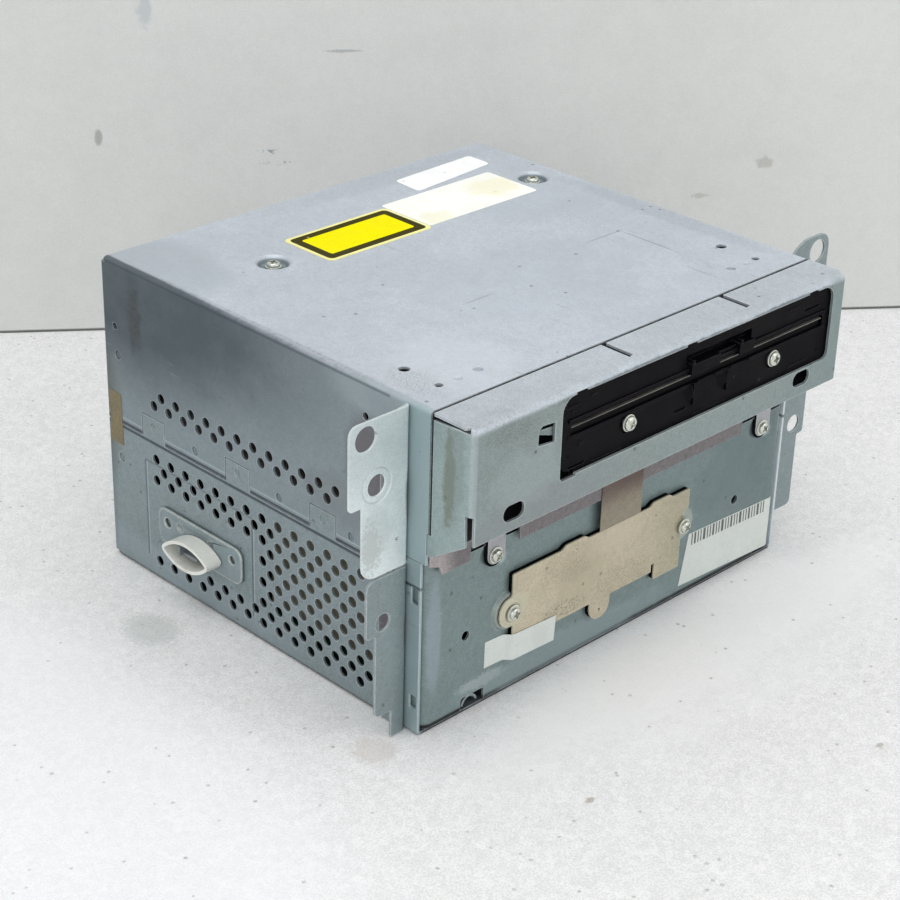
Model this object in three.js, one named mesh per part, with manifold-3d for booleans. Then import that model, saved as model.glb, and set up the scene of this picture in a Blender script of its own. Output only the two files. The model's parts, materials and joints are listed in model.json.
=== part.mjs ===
// Double-height car navigation unit: a folded steel box with a disc drive on top and a disk bay below.
// Millimetres, +Z up. The origin is the centre of the case's bottom face, and the front faces -Y.
import * as THREE from "three";
import { mergeVertices } from "three/addons/utils/BufferGeometryUtils.js";
import Module from "manifold-3d";

const wasm = await Module();
wasm.setup();

// Case
const CASE_WIDTH = 180;
const CASE_DEPTH = 160;
const DECK_HEIGHT = 64;
const DRIVE_HEIGHT = 51;
const SEAM_DROP = 9.5;
const SHEET = 1;
const BEND = 1.6;
const CLEAR = 0.3;
const OVERRUN = 3;

// Front
const SHROUD_REACH = 17.2;
const SHROUD_DROP = 38.7;
const PANEL_SETBACK = 2.8;
const EAR_SETBACK = 8.5;
const EAR_SHEET = 1.2;

// Disc drive
const DISC_DEPTH = 66;
const DISC_RADIUS = 60;
const DRIVE_MARGIN = 14.5;
const DISC_THICKNESS = 1.2;
const DISC_DROP = 14;

// Circles
const FINE = 18;
const ROUND = 10;
const COARSE = 6;

const FRONT = -CASE_DEPTH / 2;
const REAR = CASE_DEPTH / 2;
const SIDE = CASE_WIDTH / 2;
const CASE_HEIGHT = DECK_HEIGHT + DRIVE_HEIGHT;
const SEAM_HEIGHT = DECK_HEIGHT - SEAM_DROP;
const DISC_HEIGHT = CASE_HEIGHT - DISC_DROP;
const DISC_X = SIDE - DISC_RADIUS - DRIVE_MARGIN;

const X_AXIS = new THREE.Vector3(1, 0, 0);
const Y_AXIS = new THREE.Vector3(0, 1, 0);
const Z_AXIS = new THREE.Vector3(0, 0, 1);
const FACING = {
  x: new THREE.Matrix4().makeBasis(Y_AXIS, Z_AXIS, X_AXIS),
  y: new THREE.Matrix4().makeBasis(Z_AXIS, X_AXIS, Y_AXIS),
  z: new THREE.Matrix4(),
};

const unit = new THREE.Group();

// Solids and meshes

function solidOf(geometry) {
  const bare = geometry.clone();
  bare.deleteAttribute("normal");
  bare.deleteAttribute("uv");
  const merged = mergeVertices(bare);
  return new wasm.Manifold(new wasm.Mesh({
    numProp: 3,
    vertProperties: merged.attributes.position.array,
    triVerts: new Uint32Array(merged.index.array),
  }));
}

function geometryOf(solid) {
  const mesh = solid.getMesh();
  const geometry = new THREE.BufferGeometry();
  geometry.setAttribute("position", new THREE.BufferAttribute(mesh.vertProperties, 3));
  geometry.setIndex(new THREE.BufferAttribute(mesh.triVerts, 1));
  geometry.computeVertexNormals();
  return geometry;
}

function piece(name, solid, finish, place = [0, 0, 0], parent = unit) {
  const mesh = new THREE.Mesh(geometryOf(solid), finish);
  mesh.name = name;
  mesh.position.set(...place);
  parent.add(mesh);
  return mesh;
}

function joined(...solids) {
  return solids.reduce((whole, next) => whole.add(next));
}

// A box between pairs of limits along X, Y and Z.
function block([x0, x1], [y0, y1], [z0, z1]) {
  const box = new THREE.BoxGeometry(x1 - x0, y1 - y0, z1 - z0);
  box.translate((x0 + x1) / 2, (y0 + y1) / 2, (z0 + z1) / 2);
  return solidOf(box);
}

// A flat shape pushed along an axis between two stations.
// The shape is drawn in (Y, Z) for axis x, in (Z, X) for axis y and in (X, Y) for axis z.
function push(axis, shape, from, to, sides = FINE) {
  const settings = { depth: to - from, bevelEnabled: false, curveSegments: Math.ceil(sides / 4) };
  const body = new THREE.ExtrudeGeometry(shape, settings);
  body.translate(0, 0, from);
  body.applyMatrix4(FACING[axis]);
  return solidOf(body);
}

// A rectangle with its own radius at each corner: low-low, high-low, high-high, low-high.
function roundedRectangle([u0, u1], [v0, v1], radii) {
  const [a, b, c, d] = Array.isArray(radii) ? radii : [radii, radii, radii, radii];
  const shape = new THREE.Shape();
  const corner = (u, v, radius, start) => {
    if (radius > 0) shape.absarc(u, v, radius, start, start + Math.PI / 2);
    else shape.lineTo(u, v);
  };
  shape.moveTo(u0 + a, v0);
  corner(u1 - b, v0 + b, b, -Math.PI / 2);
  corner(u1 - c, v1 - c, c, 0);
  corner(u0 + d, v1 - d, d, Math.PI / 2);
  corner(u0 + a, v0 + a, a, Math.PI);
  return shape;
}

function rod(axis, centre, radius, from, to, sides = ROUND) {
  const shape = new THREE.Shape();
  for (let side = 0; side < sides; side += 1) {
    const turn = (side + 0.5) * 2 * Math.PI / sides;
    const u = centre[0] + radius * Math.cos(turn);
    const v = centre[1] + radius * Math.sin(turn);
    if (side === 0) shape.moveTo(u, v);
    else shape.lineTo(u, v);
  }
  shape.closePath();
  return push(axis, shape, from, to);
}

// A turned piece round Z from (radius, height) pairs that start and end on the axis.
function turned(profile, sides = FINE) {
  const points = profile.map(([radius, height]) => new THREE.Vector2(radius, height));
  const lathe = new THREE.LatheGeometry(points, sides);
  lathe.rotateX(Math.PI / 2);
  return solidOf(lathe);
}

function outline(points) {
  return new THREE.Shape(points.map(([u, v]) => new THREE.Vector2(u, v)));
}

function finish(color, roughness, metalness) {
  return new THREE.MeshStandardMaterial({ color, roughness, metalness });
}

const depth = (distance) => FRONT + distance;

const FINISH = {
  zinc: finish(0xaeb6bd, 0.42, 0.85),
  frontZinc: finish(0xa3adae, 0.45, 0.8),
  earZinc: finish(0xbfc8c6, 0.4, 0.85),
  bareSteel: finish(0xb3a68f, 0.5, 0.7),
  screw: finish(0xcfd2d4, 0.3, 0.9),
  blackPlastic: finish(0x1b1a1f, 0.6, 0),
  whitePlastic: finish(0xddd9ce, 0.55, 0),
  rubber: finish(0x202124, 0.9, 0),
  board: finish(0x1f5a38, 0.6, 0),
  chip: finish(0x2a2a2c, 0.5, 0),
  aluminium: finish(0xb9bdc0, 0.4, 0.9),
  rod: finish(0xd5d8da, 0.2, 0.95),
  gear: finish(0xe6e2d6, 0.6, 0),
  lens: finish(0x8fa6c4, 0.1, 0),
  flex: finish(0xc98b3c, 0.5, 0),
};

// Vents

const VENT = {
  pitch: 8, rise: 4, radius: 1.9, lead: 30, bottom: 7.5, topMargin: 7, rearMargin: 25,
  grilleDepth: 80, coolingDepth: 108,
};
const COVER_VENT = { lift: 13.5, lead: 46, rearMargin: 26 };

function ventRow(side, lead, height, reach) {
  const count = Math.floor((reach - lead) / VENT.pitch) + 1;
  const from = side * SIDE - SHEET * 2;
  const row = [];
  for (let hole = 0; hole < count; hole += 1) {
    const centre = [depth(lead + hole * VENT.pitch), height];
    row.push(rod("x", centre, VENT.radius, from, from + SHEET * 4, COARSE));
  }
  return row;
}

function coverVents(side) {
  const reach = CASE_DEPTH - COVER_VENT.rearMargin;
  const low = SEAM_HEIGHT + COVER_VENT.lift;
  const high = ventRow(side, COVER_VENT.lead - VENT.pitch / 2, low + VENT.rise, reach);
  return [...high, ...ventRow(side, COVER_VENT.lead, low, reach)];
}

// The left wall is pierced to the rear above and below the boss plate.
// The right wall has its upper rows alone.
function trayVents(side) {
  const rear = CASE_DEPTH - VENT.rearMargin;
  const half = VENT.pitch / 2;
  const grille = VENT.grilleDepth;
  const rows = [
    [0, rear], [-half, VENT.coolingDepth], [0, grille], [-half, grille], [0, grille],
    [half, grille], [0, grille], [half, grille], [0, rear], [half, rear], [0, rear],
  ];
  const rightRows = 3;
  const rise = (SEAM_HEIGHT - VENT.topMargin - VENT.bottom) / (rows.length - 1);
  return rows.flatMap(([shift, reach], level) => {
    if (side > 0 && level < rows.length - rightRows) return [];
    return ventRow(side, VENT.lead + shift, VENT.bottom + level * rise, reach);
  });
}

// Upper cover: the top and the upper part of both sides, with a short lip down the back

const TAB = { width: 12, rise: 8.5, placeShares: [0.3, 0.5625, 0.8425] };
const FRONT_TONGUE = { depth: 14, rise: 5.9 };
const TOP_SCREW = { leftInset: 4.4, rightInset: 9.5, depth: 117.5, dish: 5.5, seat: 3.4, sink: 2 };
const TOP_HOLE = { sideInset: 14.7, depths: [10.7, 25.7], radii: [1.4, 1.9] };
const BRACE = { ahead: 16, behind: 14, shelf: 12, gap: 4.2 };
const CHASSIS = { sideMargin: 6, baseLift: 7, front: 4, rear: 138, window: 40 };
const CHASSIS_HALF = DISC_RADIUS + CHASSIS.sideMargin;
const BRACE_HALF = CHASSIS_HALF + BRACE.gap;
const TOP_SCREW_X = [
  DISC_X - BRACE_HALF + TOP_SCREW.leftInset, DISC_X + BRACE_HALF - TOP_SCREW.rightInset,
];
const TOP_HOLE_X = SIDE - TOP_HOLE.sideInset;
const REAR_LIP = 9;

function screwDish(x) {
  const { dish, seat, sink } = TOP_SCREW;
  const wall = turned([[0, -sink - SHEET], [seat + SHEET / 2, -sink - SHEET],
    [dish + SHEET / 2, -SHEET / 2],
    [0, -SHEET / 2]]);
  const bowl = turned([[0, -sink], [seat, -sink], [dish, 0], [dish, OVERRUN], [0, OVERRUN]]);
  const place = [x, depth(TOP_SCREW.depth), CASE_HEIGHT];
  return [wall.translate(place), bowl.translate(place)];
}

function topCover() {
  const low = SEAM_HEIGHT + CLEAR;
  const outer = roundedRectangle([low, CASE_HEIGHT], [-SIDE, SIDE], [0, BEND, BEND, 0]);
  const inner = block([-SIDE + SHEET, SIDE - SHEET], [FRONT - OVERRUN, REAR - SHEET],
    [low - OVERRUN, CASE_HEIGHT - SHEET]);
  const lipOpening = block([-SIDE - OVERRUN, SIDE + OVERRUN], [REAR - SHEET - CLEAR, REAR + OVERRUN],
    [low - OVERRUN, CASE_HEIGHT - REAR_LIP]);
  const endGap = block([-SIDE - OVERRUN, SIDE + OVERRUN], [REAR - SHEET - CLEAR, REAR + OVERRUN],
    [CASE_HEIGHT - REAR_LIP - OVERRUN, CASE_HEIGHT - BEND * 2]);
  const sideGap = endGap.subtract(block([-SIDE + BEND * 2, SIDE - BEND * 2],
    [REAR - OVERRUN, REAR + OVERRUN],
    [0, CASE_HEIGHT]));
  let cover = push("y", outer, FRONT, REAR).subtract(inner).subtract(lipOpening).subtract(sideGap);
  for (const x of TOP_SCREW_X) {
    const [wall, bowl] = screwDish(x);
    cover = cover.add(wall).subtract(bowl);
    cover = cover.subtract(rod("z", [x, depth(TOP_SCREW.depth)], SCREW.shank + CLEAR, low,
      CASE_HEIGHT + OVERRUN));
  }
  const cuts = [...coverVents(-1), ...coverVents(1)];
  const across = [-SIDE - OVERRUN, SIDE + OVERRUN];
  for (const share of TAB.placeShares) {
    const middle = depth(CASE_DEPTH * share);
    const half = TAB.width / 2 + CLEAR;
    cuts.push(block(across, [middle - half, middle + half], [low - OVERRUN,
      SEAM_HEIGHT + TAB.rise + CLEAR]));
  }
  cuts.push(block(across, [FRONT - OVERRUN, depth(FRONT_TONGUE.depth + CLEAR)],
    [low - OVERRUN, SEAM_HEIGHT + FRONT_TONGUE.rise + CLEAR]));
  for (const x of [-TOP_HOLE_X, TOP_HOLE_X]) {
    TOP_HOLE.depths.forEach((distance, index) => {
      const radius = TOP_HOLE.radii[index];
      cuts.push(rod("z", [x, depth(distance)], radius, low, CASE_HEIGHT + OVERRUN, ROUND));
    });
  }
  for (const x of [-REAR_SCREW_X, REAR_SCREW_X]) {
    const centre = [CASE_HEIGHT - REAR_SCREW.drop, x];
    cuts.push(rod("y", centre, SCREW.shank + CLEAR, REAR - SHEET * 2, REAR + SHEET));
  }
  return cuts.reduce((whole, cut) => whole.subtract(cut), cover);
}

// Lower tray: the bottom and the lower part of both sides, whose tongues rise into the cover

const TRAY_FRONT = 3.3;
const WINDOW = { front: 4, rear: 7.1, topDrop: 0.7, topTall: 6.4, foot: 9.5, footTall: 4.7 };
const PILLAR = { radius: 3, depths: [24, 130], leftInset: 12, rightInset: 20 };
const BOARD = { bottom: 7, thickness: 1.6, sideGap: 6, front: 8 };

function lowerTray() {
  const shape = roundedRectangle([0, SEAM_HEIGHT], [-SIDE, SIDE], [BEND, 0, 0, BEND]);
  const inner = block([-SIDE + SHEET, SIDE - SHEET], [FRONT - OVERRUN, REAR - SHEET],
    [SHEET, SEAM_HEIGHT + OVERRUN]);
  const lip = block([-SIDE - OVERRUN, SIDE + OVERRUN], [REAR - SHEET - CLEAR, REAR + OVERRUN],
    [REAR_LIP, SEAM_HEIGHT + OVERRUN]);
  const lipEnd = block([-SIDE - OVERRUN, SIDE + OVERRUN], [REAR - SHEET - CLEAR, REAR + OVERRUN],
    [BEND * 2, SEAM_HEIGHT]).subtract(block([-SIDE + BEND * 2, SIDE - BEND * 2],
    [REAR - OVERRUN, REAR + OVERRUN], [0, SEAM_HEIGHT + OVERRUN]));
  let tray = push("y", shape, depth(TRAY_FRONT), REAR).subtract(inner).subtract(lip).subtract(lipEnd);
  const foot = SEAM_HEIGHT - SHEET;
  for (const side of [-1, 1]) {
    const wall = [Math.min(side * SIDE, side * (SIDE - SHEET)),
      Math.max(side * SIDE, side * (SIDE - SHEET))];
    for (const share of TAB.placeShares) {
      const middle = depth(CASE_DEPTH * share);
      const span = [middle - TAB.width / 2, middle + TAB.width / 2];
      tray = tray.add(block(wall, span, [foot, SEAM_HEIGHT + TAB.rise]));
    }
    tray = tray.add(block(wall, [depth(TRAY_FRONT), depth(FRONT_TONGUE.depth)],
      [foot, SEAM_HEIGHT + FRONT_TONGUE.rise]));
  }
  const across = [-SIDE - OVERRUN, SIDE + OVERRUN];
  const cuts = [...trayVents(-1), ...trayVents(1)];
  const windowTop = SEAM_HEIGHT - WINDOW.topDrop;
  const windows = [[windowTop - WINDOW.topTall, windowTop], [WINDOW.foot, WINDOW.foot + WINDOW.footTall]];
  for (const heights of windows) {
    cuts.push(block(across, [depth(WINDOW.front), depth(WINDOW.rear)], heights));
  }
  tray = cuts.reduce((whole, cut) => whole.subtract(cut), tray);
  for (const x of [PILLAR.leftInset - SIDE, SIDE - PILLAR.rightInset]) {
    for (const distance of PILLAR.depths) {
      tray = tray.add(rod("z", [x, depth(distance)], PILLAR.radius, SHEET / 2, BOARD.bottom - CLEAR));
    }
  }
  return tray;
}

// Screws: the head stands on the origin plane and the shank runs down from it

const SCREW = { head: 2.9, headHeight: 1.8, shank: 1.3, length: 6, pad: 0.2 };

function screw(length = SCREW.length) {
  const { head, headHeight, shank, pad } = SCREW;
  return turned([[0, -length], [shank, -length], [shank, 0], [head, 0], [head, headHeight - pad * 3],
    [head - pad * 4, headHeight], [0, headHeight]], ROUND);
}

const HEAD_TO_FRONT = Math.PI / 2;
const HEAD_TO_REAR = -Math.PI / 2;

function screwAt(name, place, tilt, length = SCREW.length) {
  const mesh = piece(name, screw(length), FINISH.screw, place);
  mesh.rotation.x = tilt;
}

// Rear panel with its side returns, fan grille and sockets

const FAN = {
  sideInset: 38, liftShare: 0.35, frame: 40, thickness: 10, bore: 18.6, hub: 8, blades: 7, sweep: 0.7,
  strut: 1.5,
};
const BOARD_TOP = BOARD.bottom + BOARD.thickness;
const FAN_FOOT = BOARD_TOP + (DECK_HEIGHT - BOARD_TOP - FAN.frame) * FAN.liftShare;
const FAN_HEIGHT = FAN_FOOT + FAN.frame / 2;
const FAN_X = FAN.sideInset - SIDE;
const GRILLE = { radius: 2.6, pitch: 6.6 };
const PLUG = {
  sideInset: 35, height: 22, width: 56, tall: 22, wall: 1.6, stand: 4, inside: 12, chambers: 2, pins: 5,
};
const PLUG_X = SIDE - PLUG.sideInset;
const JACK = { x: [2, -14], drop: 33, radius: 4.6, bush: 6.2 };
const REAR_SCREW = { sideInset: 20, drop: 5 };
const REAR_SCREW_X = SIDE - REAR_SCREW.sideInset;
const RETURN = 10;

function rearPanel() {
  const half = SIDE - SHEET - CLEAR;
  const back = REAR - SHEET - CLEAR;
  const low = SHEET + CLEAR;
  const high = CASE_HEIGHT - SHEET - CLEAR;
  const shell = block([-half, half], [back - RETURN, back], [low, high]);
  const hollow = block([-half + SHEET, half - SHEET], [back - RETURN - OVERRUN, back - SHEET],
    [low - OVERRUN, high + OVERRUN]);
  let panel = shell.subtract(hollow);
  const drill = (centre, radius, sides = ROUND) => {
    panel = panel.subtract(rod("y", [centre[1], centre[0]], radius, back - SHEET * 2, back + SHEET, sides));
  };
  const reach = Math.ceil(FAN.bore / GRILLE.pitch);
  const rise = GRILLE.pitch * Math.sin(Math.PI / 3);
  for (let row = -reach; row <= reach; row += 1) {
    for (let column = -reach; column <= reach; column += 1) {
      const across = (column + (row % 2 ? 1 / 2 : 0)) * GRILLE.pitch;
      const up = row * rise;
      if (Math.hypot(across, up) + GRILLE.radius < FAN.bore) {
        drill([FAN_X + across, FAN_HEIGHT + up], GRILLE.radius, COARSE);
      }
    }
  }
  panel = panel.subtract(block(
    [PLUG_X - PLUG.width / 2 - CLEAR, PLUG_X + PLUG.width / 2 + CLEAR], [back - SHEET * 2, back + SHEET],
    [PLUG.height - PLUG.tall / 2 - CLEAR, PLUG.height + PLUG.tall / 2 + CLEAR]));
  JACK.x.forEach((x) => drill([x, CASE_HEIGHT - JACK.drop], JACK.radius + CLEAR));
  for (const x of [-REAR_SCREW_X, REAR_SCREW_X]) {
    drill([x, CASE_HEIGHT - REAR_SCREW.drop], SCREW.shank + CLEAR);
  }
  return panel;
}

// Drive shroud: the box round the disc slot that stands ahead of the cover

const SHROUD = {
  leftInset: 0.2, rightInset: 0.7, leftBend: 1.4, rightBend: 4.6, topBend: 2.6, wallRise: 2.5,
};
const MOUTH = {
  leftMargin: 7.7, rightMargin: 5.3, bottomDrop: 29, topDrop: 2, corner: 5, notch: 6.5, notchDrop: 0.8,
};
const MOUTH_NOTCH = { offsets: [-59.3, -8, 55], width: 5, rise: 0.6 };
const SLIT = { offsets: [-31.9, 25.8], width: 1.8, length: 12.4 };
const WINDOW_TAB = { sideInset: 27.6, width: 6.4, drop: 8, tall: 6.6 };
const LONG_HOLE = { leftInset: 18.2, rightInset: 22, drop: 32.6, width: 8.6, tall: 4.8 };
const SHROUD_FOOT = CASE_HEIGHT - SHROUD_DROP;
const WALL_FOOT = DECK_HEIGHT + SHROUD.wallRise;
const MOUTH_BOTTOM = CASE_HEIGHT - MOUTH.bottomDrop;
const MOUTH_TOP = CASE_HEIGHT - MOUTH.topDrop;
const MOUTH_LEFT = DISC_X - DISC_RADIUS - MOUTH.leftMargin;
const MOUTH_RIGHT = DISC_X + DISC_RADIUS + MOUTH.rightMargin;
const fromDisc = (offset) => DISC_X + offset;

function driveShroud() {
  const face = FRONT - SHROUD_REACH;
  const back = FRONT - CLEAR;
  const plan = (inset, foot) => roundedRectangle(
    [-SIDE + SHROUD.leftInset + inset, SIDE - SHROUD.rightInset - inset],
    [face + inset, foot], [Math.max(SHROUD.leftBend - inset, 0), SHROUD.rightBend - inset, 0, 0]);
  const outer = push("z", plan(0, back), WALL_FOOT, CASE_HEIGHT);
  const inner = push("z", plan(SHEET, back + OVERRUN), WALL_FOOT - OVERRUN, CASE_HEIGHT - SHEET);
  const profile = outline([[back + SHEET, WALL_FOOT - SHEET], [back + SHEET, CASE_HEIGHT],
    [face + SHROUD.topBend, CASE_HEIGHT], [face + SHROUD.topBend / 4, CASE_HEIGHT - SHROUD.topBend / 3],
    [face, CASE_HEIGHT - SHROUD.topBend], [face, SHROUD_FOOT], [back - SHEET, WALL_FOOT]]);
  let shroud = outer.subtract(inner).intersect(push("x", profile, -SIDE, SIDE));
  const through = [face - OVERRUN, face + SHEET + OVERRUN];
  const mouth = roundedRectangle([MOUTH_BOTTOM, MOUTH_TOP], [MOUTH_LEFT, MOUTH_RIGHT],
    [0, MOUTH.corner, MOUTH.corner, 0]);
  const cuts = [push("y", mouth, ...through)];
  for (const x of [MOUTH_LEFT, MOUTH_RIGHT - MOUTH.notch]) {
    cuts.push(block([x, x + MOUTH.notch], through, [MOUTH_BOTTOM - MOUTH.notchDrop, MOUTH_BOTTOM + SHEET]));
  }
  for (const x of MOUTH_NOTCH.offsets.map(fromDisc)) {
    cuts.push(block([x - MOUTH_NOTCH.width / 2, x + MOUTH_NOTCH.width / 2], through,
      [MOUTH_TOP - SHEET, MOUTH_TOP + MOUTH_NOTCH.rise]));
  }
  for (const x of SLIT.offsets.map(fromDisc)) {
    cuts.push(block([x - SLIT.width / 2, x + SLIT.width / 2], [FRONT - SLIT.length, FRONT + SHEET],
      [CASE_HEIGHT - SHEET * 2, CASE_HEIGHT + SHEET]));
  }
  const windowTop = CASE_HEIGHT - WINDOW_TAB.drop;
  const windowLeft = WINDOW_TAB.sideInset - SIDE;
  cuts.push(block([windowLeft, windowLeft + WINDOW_TAB.width], through,
    [windowTop - WINDOW_TAB.tall, windowTop]));
  for (const x of [LONG_HOLE.leftInset - SIDE, SIDE - LONG_HOLE.rightInset]) {
    const half = LONG_HOLE.tall / 2;
    const span = [x - LONG_HOLE.width / 2, x + LONG_HOLE.width / 2];
    const middle = CASE_HEIGHT - LONG_HOLE.drop;
    cuts.push(push("y", roundedRectangle([middle - half, middle + half], span, half), ...through));
  }
  return cuts.reduce((whole, cut) => whole.subtract(cut), shroud);
}

// Slot bezel: the black plate behind the mouth that the disc passes through

const BEZEL = { thickness: 2.4, lap: 1.6, corner: 4, slotMargin: 3, slotDrop: 2.6, slotRise: 2.4 };
const BEZEL_SCREW = { offsets: [-35.8, 36.4], drop: 20.4 };
const BEZEL_LUG = { offsets: [-6.9, 9.9], width: 7, drop: 5, tall: 5.8, thickness: 1.6 };
const SLOT_HALF = DISC_RADIUS + BEZEL.slotMargin;
const BEZEL_SCREW_X = BEZEL_SCREW.offsets.map(fromDisc);
const BEZEL_SCREW_HEIGHT = CASE_HEIGHT - BEZEL_SCREW.drop;

function slotBezel() {
  const front = FRONT - SHROUD_REACH + SHEET + CLEAR;
  const back = front + BEZEL.thickness;
  const shape = roundedRectangle([MOUTH_BOTTOM - BEZEL.lap, MOUTH_TOP - CLEAR],
    [MOUTH_LEFT - BEZEL.lap, MOUTH_RIGHT + BEZEL.lap], [BEZEL.corner / 2, BEZEL.corner, BEZEL.corner,
      BEZEL.corner / 2]);
  let bezel = push("y", shape, front, back);
  bezel = bezel.subtract(block([DISC_X - SLOT_HALF, DISC_X + SLOT_HALF],
    [front - OVERRUN, back + OVERRUN],
    [DISC_HEIGHT - BEZEL.slotDrop, DISC_HEIGHT + BEZEL.slotRise]));
  for (const x of BEZEL_SCREW_X) {
    const centre = [BEZEL_SCREW_HEIGHT, x];
    bezel = bezel.subtract(rod("y", centre, SCREW.shank + CLEAR, front - OVERRUN, back + OVERRUN));
  }
  const lugTop = CASE_HEIGHT - BEZEL_LUG.drop;
  for (const x of BEZEL_LUG.offsets.map(fromDisc)) {
    bezel = bezel.add(block([x - BEZEL_LUG.width / 2, x + BEZEL_LUG.width / 2],
      [front - BEZEL_LUG.thickness, front + SHEET], [lugTop - BEZEL_LUG.tall, lugTop]));
  }
  return bezel;
}

// Lower front panel with its screw seats and the disk bay opening

const LOWER = { foot: 1.3, topDrop: 5, bend: 4, flange: 14 };
const LOWER_TOP = DECK_HEIGHT - LOWER.topDrop;
const BAY = { leftInset: 47, width: 70, bottom: 20, top: 41 };
const BAY_LEFT = BAY.leftInset - SIDE;
const BAY_RIGHT = BAY_LEFT + BAY.width;
const PANEL_HOLE = { leftInset: 19.9, rightInset: 25.7, height: 29.1, radius: 1.7 };
const PANEL_HOLE_X = [PANEL_HOLE.leftInset - SIDE, SIDE - PANEL_HOLE.rightInset];
const PANEL_SCREW = { leftInset: 31.9, rightInset: 14.1, drop: 5 };
const PANEL_SCREW_X = [PANEL_SCREW.leftInset - SIDE, SIDE - PANEL_SCREW.rightInset];
const PANEL_SCREW_HEIGHT = LOWER_TOP - PANEL_SCREW.drop;
const COVER_SCREW = { leftMargin: 8.5, rightMargin: 6, height: 31.2, seat: 6.5, raise: 1.2 };
const COVER_SCREW_X = [BAY_LEFT - COVER_SCREW.leftMargin, BAY_RIGHT + COVER_SCREW.rightMargin];
const NOTCH = { leftInset: 18.6, rightInset: 12, width: 10.5, rise: 4.6 };

function lowerPanel() {
  const half = SIDE - SHEET - CLEAR;
  const face = depth(PANEL_SETBACK);
  const back = face + LOWER.flange;
  const outer = roundedRectangle([-half, half], [face, back], [LOWER.bend, LOWER.bend, 0, 0]);
  const inner = roundedRectangle([-half + SHEET, half - SHEET], [face + SHEET, back + OVERRUN],
    [LOWER.bend - SHEET, LOWER.bend - SHEET, 0, 0]);
  let panel = push("z", outer, LOWER.foot, LOWER_TOP)
    .subtract(push("z", inner, LOWER.foot - OVERRUN, LOWER_TOP + OVERRUN));
  for (const x of COVER_SCREW_X) {
    panel = panel.add(rod("y", [COVER_SCREW.height, x], COVER_SCREW.seat, face - COVER_SCREW.raise,
      face + SHEET / 2,
      FINE));
  }
  const through = [face - OVERRUN, face + SHEET + OVERRUN];
  const cuts = [block([BAY_LEFT, BAY_RIGHT], through, [BAY.bottom, BAY.top])];
  for (const x of PANEL_HOLE_X) cuts.push(rod("y", [PANEL_HOLE.height, x], PANEL_HOLE.radius, ...through));
  for (const x of PANEL_SCREW_X) {
    cuts.push(rod("y", [PANEL_SCREW_HEIGHT, x], SCREW.shank + CLEAR, ...through));
  }
  for (const x of COVER_SCREW_X) {
    cuts.push(rod("y", [COVER_SCREW.height, x], SCREW.shank + CLEAR, ...through));
  }
  for (const x of [NOTCH.leftInset - SIDE, SIDE - NOTCH.rightInset]) {
    cuts.push(block([x, x + NOTCH.width], through, [LOWER.foot - OVERRUN, LOWER.foot + NOTCH.rise]));
  }
  return cuts.reduce((whole, cut) => whole.subtract(cut), panel);
}

// Disk bay cover: the flat steel plate over the bay, with an ear at its left screw and a hanging tongue

const BAY_COVER = {
  leftMargin: 8.2, rightMargin: 8.6, top: 44.8, bottom: 18.6, rightBottom: 15.2, stepInset: 8,
  leftBump: 21, rightBump: 6.2, bump: 5, bumpRise: 1.3, tongueInset: 34.6, tongueHalf: 5, tongueFoot: 11,
  ear: 6.4,
};

function bayCover() {
  const { top, bottom, rightBottom, tongueHalf, tongueFoot } = BAY_COVER;
  const left = BAY_LEFT - BAY_COVER.leftMargin;
  const right = BAY_RIGHT + BAY_COVER.rightMargin;
  const step = BAY_RIGHT - BAY_COVER.stepInset;
  const tongue = BAY_LEFT + BAY_COVER.tongueInset;
  const back = depth(PANEL_SETBACK) - COVER_SCREW.raise - CLEAR;
  const front = back - SHEET;
  const clearBottom = COVER_SCREW.height - BAY_COVER.ear;
  let plate = block([left, right], [front, back], [COVER_SCREW.height, top]);
  plate = plate.add(block([left + BAY_COVER.ear, right - BAY_COVER.ear / 2], [front, back], [bottom, top]));
  plate = plate.add(block([step, right - BAY_COVER.ear / 2], [front, back], [rightBottom, top]));
  plate = plate.add(rod("y", [COVER_SCREW.height, COVER_SCREW_X[0]], BAY_COVER.ear, front, back, FINE));
  plate = plate.add(block([COVER_SCREW_X[0], left + BAY_COVER.ear * 2], [front, back], [clearBottom, top]));
  plate = plate.add(block([tongue - tongueHalf, tongue + tongueHalf], [front, back],
    [tongueFoot + tongueHalf, top]));
  plate = plate.add(rod("y", [tongueFoot + tongueHalf, tongue], tongueHalf, front, back, FINE));
  for (const x of [BAY_LEFT + BAY_COVER.leftBump, BAY_RIGHT - BAY_COVER.rightBump]) {
    plate = plate.add(block([x - BAY_COVER.bump, x + BAY_COVER.bump], [front, back],
      [bottom, top + BAY_COVER.bumpRise]));
  }
  return COVER_SCREW_X.reduce((whole, x) => (
    whole.subtract(rod("y", [COVER_SCREW.height, x], SCREW.shank + CLEAR, front - OVERRUN,
      back + OVERRUN))), plate);
}

// Mounting ears: a flange that faces forward and a leaf that lies on the case side

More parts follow.
